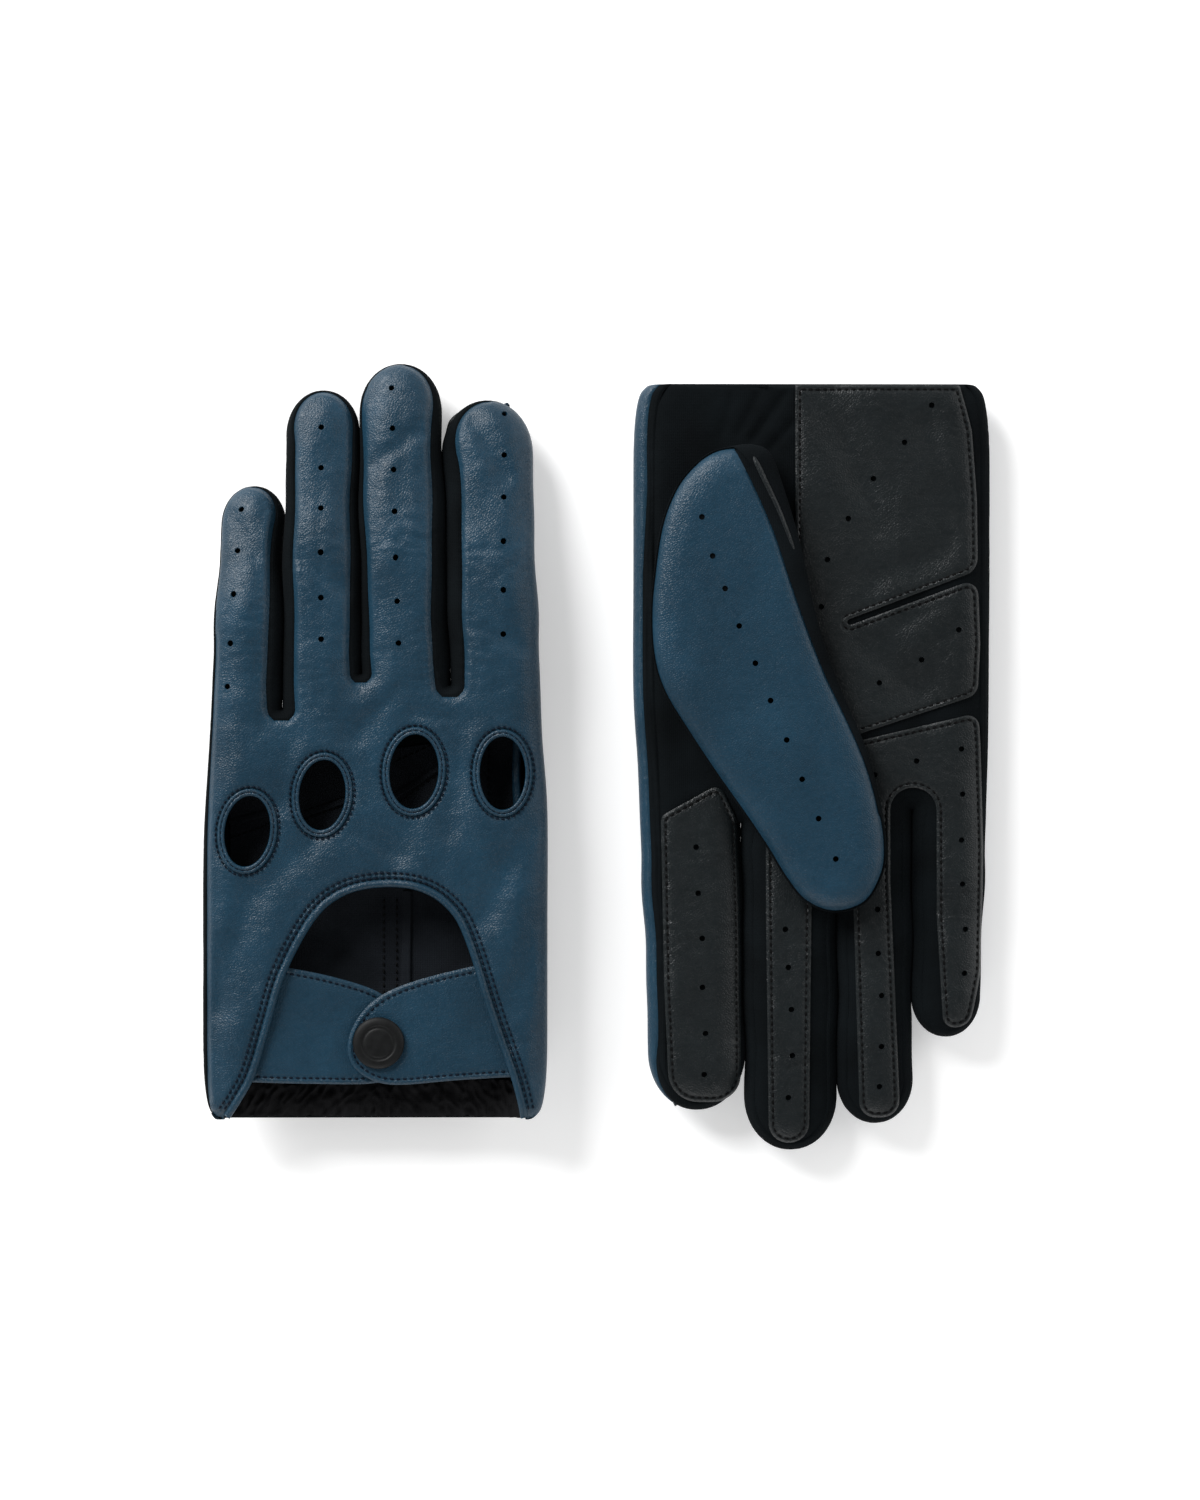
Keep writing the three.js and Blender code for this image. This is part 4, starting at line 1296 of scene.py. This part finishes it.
def thumb(glove):
    made = finishes()
    side, body = glove.side, f"{glove.side}_thumb"
    edge = curve(THUMB_EDGE, 0.7, closed=True)
    inward = inward_normals(edge)
    line = curve(THUMB_LEATHER + THUMB_LEATHER[:1], 0.7)[:-1]
    tree = KDTree(len(edge))
    for i, (x, y) in enumerate(edge):
        tree.insert((x, y, 0), i)
    tree.balance()
    for i, (x, y) in enumerate(line):
        _, near, away = tree.find((x, y, 0))
        if away < 0.75:
            line[i] = edge[near] + inward[near] * (0.06 + max(away - 0.45, 0))
    line = resample(line, 0.7, True)
    seam = np.clip(nearest(edge, line), 0.06, THUMB_ROLL - 0.2)

    # The leather outer side, with its row of air holes.
    holes = [air_hole(h) for h in THUMB_HOLES]
    flat, faces = fill(line, holes, 1.05)
    z = thumb_height(flat, -1, edge) + 0.5 * np.exp(-((nearest(flat, line) / 0.7) ** 2))
    points, faces = np.column_stack([flat, z]), faces[:, ::-1]
    piece = sheet_piece(f"{side}_thumb_leather", glove, points, faces, made["blue"], THICK["thumb leather"])
    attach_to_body(piece, body)
    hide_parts(f"{side}_thumb_outer")

    # The fabric wall and the inner side, open where the thumb joins the palm.
    opening = ellipse(THUMB_OPENING["at"], THUMB_OPENING["half"])
    flat, faces = fill(edge + inward * 0.6, [opening], 1.4)
    z = thumb_height(flat, 1, edge)
    points = np.column_stack([flat, z])
    piece = sheet_piece(f"{side}_thumb_inner_fabric", glove, points, faces, made["fabric"], THICK["thumb jersey"])
    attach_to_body(piece, body)
    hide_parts(f"{side}_thumb_inner")
    steps = np.linspace(0, 1, 12)
    a = np.arccos(1 - np.minimum(seam, THUMB_ROLL) / THUMB_ROLL)
    b = math.acos(1 - 0.6 / THUMB_ROLL)
    turn = -a[:, None] * (1 - steps) + b * steps
    inset = THUMB_ROLL * (1 - np.cos(np.abs(turn)))
    plane = edge[:, None] + inward[:, None] * inset[..., None]
    p2, inset, up = plane.reshape(-1, 2), inset.reshape(-1), turn.reshape(-1) > 0
    z = np.where(up, thumb_height(p2, 1, edge, inset), thumb_height(p2, -1, edge, inset))
    first = (seam[:, None] - inset.reshape(len(edge), -1)).reshape(-1)
    z = z + np.where(up, 0, 0.5 * np.exp(-((first / 0.7) ** 2)))
    points = np.column_stack([p2, z])
    faces = grid_faces(len(edge) + 1, 12) % (len(edge) * 12)
    piece = sheet_piece(f"{side}_thumb_side_fabric", glove, points, faces, made["fabric"], THICK["thumb jersey"])
    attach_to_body(piece, body)
    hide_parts(f"{side}_thumb_side_gusset")

    # The fabric that the leather's edge is sewn down on, near the thumb's root.
    flat, faces = fill(edge + inward * 0.8, [], 1.6)
    faces = faces[flat[faces].mean(1)[:, 1] < 70]
    flat, faces = compact(flat, faces)
    z = thumb_height(flat, -1, edge) + 0.45
    points, faces = np.column_stack([flat, z]), faces[:, ::-1]
    piece = sheet_piece(f"{side}_thumb_root_fabric", glove, points, faces, made["fabric"], THICK["joining jersey"])
    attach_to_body(piece, body)

    # The folded end of the seam, lying beside the leather.
    path = curve([(18.0, 22.4), (14.6, 29.6), (10.2, 39), (5.8, 50.5)], 0.6)
    n = right_normals(path)
    a = np.linspace(0, 2 * math.pi, 12, endpoint=False)
    t = np.linspace(0, 1, len(path))[:, None]
    wide = 0.85 * np.sqrt(np.clip(1 - (2 * t - 1) ** 8, 0.02, 1)) * (1.1 - 0.35 * t)
    p = path[:, None] + n[:, None] * (np.cos(a) * wide)[..., None]
    base = thumb_height(path, -1, edge)[:, None] - 0.45
    z = base - 0.75 * np.sin(a) * np.minimum(wide, 1) - 0.2 * np.cos(a) * wide
    points = np.column_stack([p.reshape(-1, 2), z.reshape(-1)])
    faces = grid_faces(len(path), 12, closed=True)
    last = 12 * (len(path) - 1)
    caps = [(0, i + 1, i) for i in range(1, 11)] + [(last, last + i, last + i + 1) for i in range(1, 11)]
    faces = np.vstack([faces, caps])
    piece = new_piece(f"{side}_thumb_seam_end", glove, points, faces, made["black"])
    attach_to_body(piece, body)

    # The sleeve of fabric that joins the thumb to the palm.
    rows = 14
    ring = resample(opening, 1.0, True)
    t = np.linspace(0, 1, rows)
    z = 1.9 + (-1.1 - 1.9) * t
    centre = np.array(THUMB_OPENING["at"])
    swell = 1 + 0.02 * np.sin(t * math.pi)
    points = np.array([(*(centre + (p - centre) * s), h) for s, h in zip(swell, z) for p in ring])
    faces = grid_faces(rows, len(ring), closed=True)
    piece = sheet_piece(f"{side}_thumb_sleeve", glove, points, faces, made["fabric"], THICK["joining jersey"])
    start, stop = glove.place([(*THUMB_OPENING["at"], z) for z in (1.4, -0.7)])
    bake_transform(piece)


# ---- Strap ----
UPPER_TAB = [
    (43.6, 12.6), (39.4, 12.9), (24, 12.0), (6, 10.7), (-2.5, 13.0), (-7.3, 18), (-7.5, 25), (-3.4, 32.6),
    (3.6, 38.2), (14, 42.2), (27.6, 45.6), (31.4, 46.2),
]
UNDER_TAB = [
    (-41.8, 11.6), (-20, 10.9), (0, 11.0), (8.6, 15), (10.8, 22), (8.6, 30), (2, 37.6), (-12, 42.6),
    (-29.6, 46.2), (-33.4, 46.4),
]
SNAP_AT = np.array((1.3, 23.2))
STRAP_ROOT = np.array((34.5, 29.7))  # middle of the line that the upper tab opens about
STRAP_WAY = np.array((0.940298, 0.340353))  # square to that line, away from the snap


def tab(glove, corners, height):
    """One end of the strap: a stitched tab with turned edges. Returns its surface and its stitch rows."""
    ring = curve(corners, 0.6)
    ends = resample([corners[-1], corners[0]], 0.6)[1:-1]
    outline = np.vstack([ring, ends])
    inward = inward_normals(outline)
    extra = np.vstack([outline + inward * o for o in (0.3, 0.7, 1.2, 1.7, 2.2)])
    extra = extra[inside(extra, outline) & (nearest(extra, outline) > 0.25)]
    flat, faces = fill(outline, [], 1.0, extra)
    d = distance(flat, ring)
    z = height(flat) - 0.4 * np.exp(-((d / 0.3) ** 2)) + 0.12 * np.exp(-(((d - 0.8) / 0.4) ** 2))
    z -= 0.28 * np.exp(-(((d - 1.7) / 0.42) ** 2))
    from_snap = np.linalg.norm(flat - SNAP_AT, axis=1)
    z += 0.08 * smooth_noise(flat, (5, 9), 2.2) - 0.35 * np.exp(-((from_snap / 8.6) ** 6)) * 0.6
    row = (ring + inward[:len(ring)] * 1.7)[4:-4]
    sewn = stitches(glove, row, 1, 1.95, 1.35, 0.26, height=lambda p: height(p) - 0.2)
    return (np.column_stack([flat, z]), faces), sewn


def upper_height(p):
    return 13.45 - 0.0006 * (p[:, 0] - 10) ** 2 + 0.1 * smooth_noise(p, (16, 16), 6.6)


def under_height(p):
    t = np.clip((p[:, 0] + 34) / 34, 0, 1)
    return 12.75 - 2.1 * t * t * (3 - 2 * t) + 0.15 * smooth_noise(p, (14, 12), 4.4)


def strap(glove):
    made = finishes()
    side = glove.side
    (points, faces), row = tab(glove, UPPER_TAB, upper_height)
    leather_piece = sheet_piece(f"{side}_strap_upper_leather", glove, points, faces, made["blue"], THICK["strap"])
    sewn = new_piece(f"{side}_strap_upper_stitching", glove, row[0], row[1], made["blue_thread"])
    ends = [STRAP_ROOT + STRAP_WAY * k for k in (1.0, -4.0)]
    start, stop = glove.place([(*ends[0], 14.7), (*ends[1], 14.7)])
    for piece in (leather_piece, sewn):
        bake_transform(piece)
    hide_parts(f"{side}_strap_upper_tab")
    (points, faces), row = tab(glove, UNDER_TAB, under_height)
    piece = sheet_piece(f"{side}_strap_under_leather", glove, points, faces, made["blue"], THICK["strap"])
    attach(piece, glove, None, "blue_leather", f"{side}_strap_under_tab")
    piece = new_piece(f"{side}_strap_under_stitching", glove, row[0], row[1], made["blue_thread"])
    attach(piece, glove, None, "blue_leather")


def turned_part(name, glove, profile, count, material):
    """A round part: a filled circle drawn up and widened, ring by ring, along its profile (radius, height)."""
    way = -0.001 if glove.turned else 0.001
    (radius, height), *rest = profile
    centre = glove.place([(*SNAP_AT, height)])[0]
    bpy.ops.object.select_all(action="DESELECT")
    bpy.ops.mesh.primitive_circle_add(vertices=count, radius=radius * 0.001, fill_type="NGON", location=tuple(centre))
    piece = bpy.context.object
    piece.name = piece.data.name = name
    bpy.ops.object.transform_apply(location=True, rotation=True, scale=True)
    bpy.ops.object.mode_set(mode="EDIT")
    bpy.ops.mesh.select_all(action="SELECT")
    for next_radius, next_height in rest:
        bpy.ops.mesh.extrude_region_move(TRANSFORM_OT_translate={"value": (0, 0, (next_height - height) * way)})
        grow = next_radius / radius
        middle = tuple(glove.place([(*SNAP_AT, next_height)])[0])
        bpy.ops.transform.resize(value=(grow, grow, 1), center_override=middle)
        radius, height = next_radius, next_height
    bpy.ops.mesh.select_all(action="SELECT")
    bpy.ops.mesh.normals_make_consistent(inside=False)
    bpy.ops.object.mode_set(mode="OBJECT")
    bpy.ops.object.shade_smooth_by_angle(angle=math.radians(50))
    piece.data.materials.append(material)
    return piece


CAP_PROFILE = [
    (5.2, 12.6), (5.2, 13.3), (7.25, 13.35), (7.6, 13.55), (7.7, 13.9), (7.66, 14.3), (7.45, 14.65), (7.0, 14.95),
    (6.4, 15.12), (5.9, 15.2), (5.55, 15.22), (5.3, 15.2), (5.15, 15.06), (5.0, 14.98), (4.6, 14.98),
    (4.35, 15.02), (4.2, 15.14), (4.0, 15.22), (3.5, 15.28), (2.4, 15.34), (1.2, 15.38), (0.5, 15.4),
]


def snaps(glove):
    made = finishes()
    piece = turned_part(f"{glove.side}_snap_button", glove, CAP_PROFILE, 64, made["cap"])
    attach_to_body(piece, f"{glove.side}_strap")
    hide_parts(f"{glove.side}_snap_cap")
    for name in ("snap_socket", "snap_stud"):
        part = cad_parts[f"{glove.side}_{name}"]
        for slot in part.material_slots:
            slot.material = made["steel"]


# ---- Wrist elastic and lining seams ----
def elastic(glove):
    """The gathered elastic inside the wrist, under the strap."""
    half = glove.wrist_half - 3.2
    xs = np.arange(-half, half + 0.01, 0.32)
    ys = np.concatenate([np.linspace(0.4, 10.8, 30), [11.4]])
    grid = np.stack(np.meshgrid(xs, ys), -1)
    p = grid.reshape(-1, 2)
    lean = np.column_stack([p[:, 0] + 0.35 * p[:, 1] * np.sign(p[:, 0]), p[:, 1]])
    gathers = 1 - 2.2 * np.abs(smooth_noise(lean, (3.0, 4.6), 12.1))
    gathers += 0.8 * smooth_noise(lean, (1.7, 2.3), 3.3)
    rise = 4.7 + 0.95 * gathers * np.clip((p[:, 1] + 0.4) / 1.6, 0.35, 1)
    sag = 5.2 * (np.abs(p[:, 0]) / half) ** 6
    ruffled = p.copy()
    ruffled[:, 1] += 0.3 + 0.5 * smooth_noise(np.column_stack([p[:, 0], p[:, 1] * 0.2]), (2.2, 3), 7.7)
    points = np.column_stack([ruffled, rise + sag])
    faces = grid_faces(len(ys), len(xs))
    material = finishes()["elastic"]
    piece = sheet_piece(f"{glove.side}_gathered_elastic", glove, points, faces, material, THICK["elastic"])
    attach(piece, glove, None, "wrist_elastic", f"{glove.side}_wrist_elastic")


def lining_height(glove, p):
    return glove.height(p, -1) + 1.3


def fit_lining(glove):
    """The brushed lining of the palm, seen through the openings of the back."""
    flat, faces = fill(fillet([(-43, 12, 3), (43, 12, 3), (44, 116, 6), (-44, 104, 6)], 1.5), [], 1.7)
    z = lining_height(glove, flat) - 0.12 + 0.12 * smooth_noise(flat, (7, 12), 3.7)
    points = np.column_stack([flat, z])
    return sheet_piece(f"{glove.side}_palm_lining", glove, points, faces, finishes()["lining"], THICK["lining"])


def facing_up(points, faces):
    """A surface with its faces turned to look up."""
    return points, faces if vertex_normals(points, faces)[:, 2].mean() >= 0 else faces[:, ::-1]


def lining_seams(glove):
    """The palm's seams as they show inside, through the keyhole and the knuckle holes."""
    rows = []
    for line in ([(2.2, 3), (2.4, 66)], [(6.0, 3), (6.2, 66)], [(-44, 84), (-33, 88), (-30, 91)],
                 [(-22, 89.5), (-9, 94)], [(-22, 92), (-9, 96.6)], [(5, 93), (18, 103)], [(6, 107), (17, 112)],
                 [(33.5, 92), (33.9, 114)]):
        rows.append(stitches(glove, curve(line, 0.5), 1, 2.1, 1.4, 0.22, False, 0.05,
                             height=lambda p: lining_height(glove, p)))
    sew(glove, rows, finishes()["black_thread"], "black_leather", lambda f: f"{glove.side}_lining_stitching")
    lining = fit_lining(glove)
    attach(lining, glove, None, "stretch_fabric")
    pieces = []
    for line, wide in (([(9.2, 2), (9.0, 34), (9.4, 68)], 3.2), ([(-44, 88.5), (-37, 90.5), (-30, 92)], 2.4),
                       ([(-22.5, 91), (-16, 93), (-8.5, 95.4)], 2.0), ([(4.5, 96), (11, 100), (19.5, 105.5)], 2.0)):
        path = curve(line, 0.8)
        n = right_normals(path)
        across = np.linspace(-1, 1, 9)
        p = (path[:, None] + n[:, None] * (across * wide / 2)[None, :, None]).reshape(-1, 2)
        rise = np.tile(0.9 * (1 - across**6) * (0.75 + 0.35 * across), len(path))
        z = lining_height(glove, p) - 0.15 + rise + 0.1 * smooth_noise(p, (2, 5), 1.1)
        pieces.append((np.column_stack([p, z]), grid_faces(len(path), 9)[:, ::-1]))
    path = curve([(42.6, 91), (42.1, 103.5), (42.5, 115)], 0.8)
    across = np.linspace(-1, 1, 9)
    p = (path[:, None] + right_normals(path)[:, None] * (across * 1.3)[None, :, None]).reshape(-1, 2)
    wave = 0.15 * smooth_noise(p, (2, 5), 2.6)
    z = lining_height(glove, p) + 1.0 + np.tile(0.8 * (1 - across**4), len(path)) + wave
    points, faces = facing_up(np.column_stack([p, z]), grid_faces(len(path), 9))
    material = finishes()["blue"]
    piece = sheet_piece(f"{glove.side}_index_turned_edge", glove, points, faces, material, THICK["turned edge"])
    attach(piece, glove, None, "blue_leather")
    points, faces = facing_up(*weld(pieces))
    material = finishes()["lining"]
    piece = sheet_piece(f"{glove.side}_lining_seams", glove, points, faces, material, THICK["lining seam"])
    attach(piece, glove, None, "stretch_fabric")


# ---- The add-on ----
class GloveSizes(PropertyGroup):
    grain: FloatProperty(name="Grain", description="Size of the leather's grain cells", default=0.00075,
                         unit="LENGTH")
    knit: FloatProperty(name="Knit", description="Width of a rib of the jersey", default=0.0006, unit="LENGTH")


class GloveColours(PropertyGroup):
    blue: FloatVectorProperty(name="Blue leather", description="Dye of the back", subtype="COLOR",
                              default=(0.0078, 0.0325, 0.0570))
    black: FloatVectorProperty(name="Black leather", description="Dye of the palm patches", subtype="COLOR",
                               default=(0.0060, 0.0086, 0.0097))
    fabric: FloatVectorProperty(name="Jersey", description="Stretch fabric", subtype="COLOR",
                                default=(0.0024, 0.0036, 0.0044))
    # Painted light: lighter than the jersey to stand in for light in the dim inside of the glove.
    lining: FloatVectorProperty(name="Lining", description="Brushed inside of the palm", subtype="COLOR",
                                default=(0.0095, 0.0115, 0.0145))
    elastic: FloatVectorProperty(name="Elastic", description="Gathered wrist elastic", subtype="COLOR",
                                 default=(0.0075, 0.0075, 0.0082))
    blue_thread: FloatVectorProperty(name="Blue thread", description="Stitching of the blue leather", subtype="COLOR",
                                     default=(0.0022, 0.006, 0.014))
    black_thread: FloatVectorProperty(name="Black thread", description="Stitching of the black leather",
                                      subtype="COLOR", default=(0.0012, 0.0013, 0.0016))
    cap: FloatVectorProperty(name="Snap cap", description="Enamel of the snap's cap", subtype="COLOR",
                             default=(0.0028, 0.0032, 0.0035))
    steel: FloatVectorProperty(name="Snap steel", description="Blackened steel of the snap's works", subtype="COLOR",
                               default=(0.08, 0.08, 0.08))


def make_both(*makers):
    """Runs the makers of one operator for each glove."""
    for side in SIDES:
        for maker in makers:
            maker(glove_of(side))
    return {"FINISHED"}


class GLOVES_OT_backs(Operator):
    """Blue leather back of each glove and finger"""

    bl_idname = "gloves.backs"
    bl_label = "Leather backs"

    def execute(self, context):
        return make_both(back_leather)


class GLOVES_OT_fabric(Operator):
    """Stretch fabric of the palms, the sides and between the fingers"""

    bl_idname = "gloves.fabric"
    bl_label = "Stretch fabric"

    def execute(self, context):
        return make_both(fabric)


class GLOVES_OT_edges(Operator):
    """Rolled edges and stitching of the knuckle holes and the keyhole"""

    bl_idname = "gloves.edges"
    bl_label = "Rolled edges"

    def execute(self, context):
        return make_both(bindings, back_stitching)


class GLOVES_OT_patches(Operator):
    """Black leather patches of the palms and fingers"""

    bl_idname = "gloves.patches"
    bl_label = "Palm patches"

    def execute(self, context):
        return make_both(palm_leather)


class GLOVES_OT_thumbs(Operator):
    """Thumbs, folded over the palms"""

    bl_idname = "gloves.thumbs"
    bl_label = "Thumbs"

    def execute(self, context):
        return make_both(thumb)


class GLOVES_OT_straps(Operator):
    """Wrist straps and their snaps"""

    bl_idname = "gloves.straps"
    bl_label = "Straps and snaps"

    def execute(self, context):
        return make_both(strap, snaps)


class GLOVES_OT_wrists(Operator):
    """Gathered wrist elastic and the seams inside the palms"""

    bl_idname = "gloves.wrists"
    bl_label = "Elastic and lining seams"

    def execute(self, context):
        return make_both(elastic, lining_seams)


class GLOVES_OT_stage(Operator):
    """Camera, soft studio light and a plain pale floor"""

    bl_idname = "gloves.stage"
    bl_label = "Stage"

    def execute(self, context):
        scene = context.scene
        bpy.ops.object.select_all(action="DESELECT")
        bpy.ops.mesh.primitive_plane_add(size=6, location=(0, 0, -0.0003))
        floor = context.object
        floor.name = "floor"
        material, tree, shader = start_material("pale floor", (0.92, 0.92, 0.92), 0.9, 0.0)
        shader.inputs["Emission Color"].default_value = (1, 1, 1, 1)
        shader.inputs["Emission Strength"].default_value = 0.3
        floor.data.materials.append(material)
        camera = bpy.data.objects.new("camera", bpy.data.cameras.new("camera"))
        scene.collection.objects.link(camera)
        camera.location = (0.00075, 0.00155, 1.262)
        camera.data.lens = 100
        camera.data.sensor_width = 36
        scene.camera = camera
        scene.view_settings.view_transform = "Standard"
        for name, where, size, energy in (
            ("key", (-1.15, 1.35, 0.95), 1.2, 62),
            ("fill", (1.6, 0.55, 0.8), 1.5, 12),
            ("front", (-0.2, -1.7, 0.8), 1.5, 14),
        ):
            light = bpy.data.objects.new(name, bpy.data.lights.new(name, "AREA"))
            scene.collection.objects.link(light)
            light.data.shape = "DISK"
            light.data.size = size
            light.data.energy = energy
            light.location = where
            light.rotation_euler = (-Vector(where)).to_track_quat("-Z", "Y").to_euler()
        world = bpy.data.worlds.new("studio")
        scene.world = world
        world.use_nodes = True
        # A tent of soft light: bright round the horizon, dim overhead, so that flat leather keeps its colour.
        tree = world.node_tree
        split = tree.nodes.new("ShaderNodeSeparateXYZ")
        tree.links.new(tree.nodes.new("ShaderNodeTexCoord").outputs["Generated"], split.inputs[0])
        dim = tree.nodes.new("ShaderNodeMapRange")
        tree.links.new(split.outputs[2], dim.inputs[0])
        for socket, value in zip(dim.inputs[1:5], (0.35, 0.95, 0.62, 0.1)):
            socket.default_value = value
        tree.nodes["Background"].inputs[0].default_value = (1, 1, 1, 1)
        tree.links.new(dim.outputs[0], tree.nodes["Background"].inputs[1])
        return {"FINISHED"}


class GLOVES_PT_panel(Panel):
    """Sizes, colours and the steps that build the gloves"""

    bl_idname = "GLOVES_PT_panel"
    bl_label = "Driving gloves"
    bl_space_type = "VIEW_3D"
    bl_region_type = "UI"
    bl_category = "Gloves"

    def draw(self, context):
        for group in (context.scene.glove_sizes, context.scene.glove_colours):
            for name in group.__annotations__:
                self.layout.prop(group, name)
        for step in STEPS:
            self.layout.operator(step.bl_idname)


STEPS = (GLOVES_OT_stage, GLOVES_OT_backs, GLOVES_OT_fabric, GLOVES_OT_edges, GLOVES_OT_patches, GLOVES_OT_thumbs,
         GLOVES_OT_straps, GLOVES_OT_wrists)
CLASSES = (GloveSizes, GloveColours, *STEPS, GLOVES_PT_panel)
MADE = {}


def glove_of(side):
    if side not in MADE:
        MADE[side] = Glove(side)
    return MADE[side]


def register():
    for cls in CLASSES:
        bpy.utils.register_class(cls)
    bpy.types.Scene.glove_sizes = PointerProperty(type=GloveSizes)
    bpy.types.Scene.glove_colours = PointerProperty(type=GloveColours)


def unregister():
    del bpy.types.Scene.glove_colours
    del bpy.types.Scene.glove_sizes
    for cls in reversed(CLASSES):
        bpy.utils.unregister_class(cls)


def main():
    register()
    for step in STEPS:
        group, name = step.bl_idname.split(".")
        getattr(getattr(bpy.ops, group), name)()


if __name__ == "__main__":
    main()
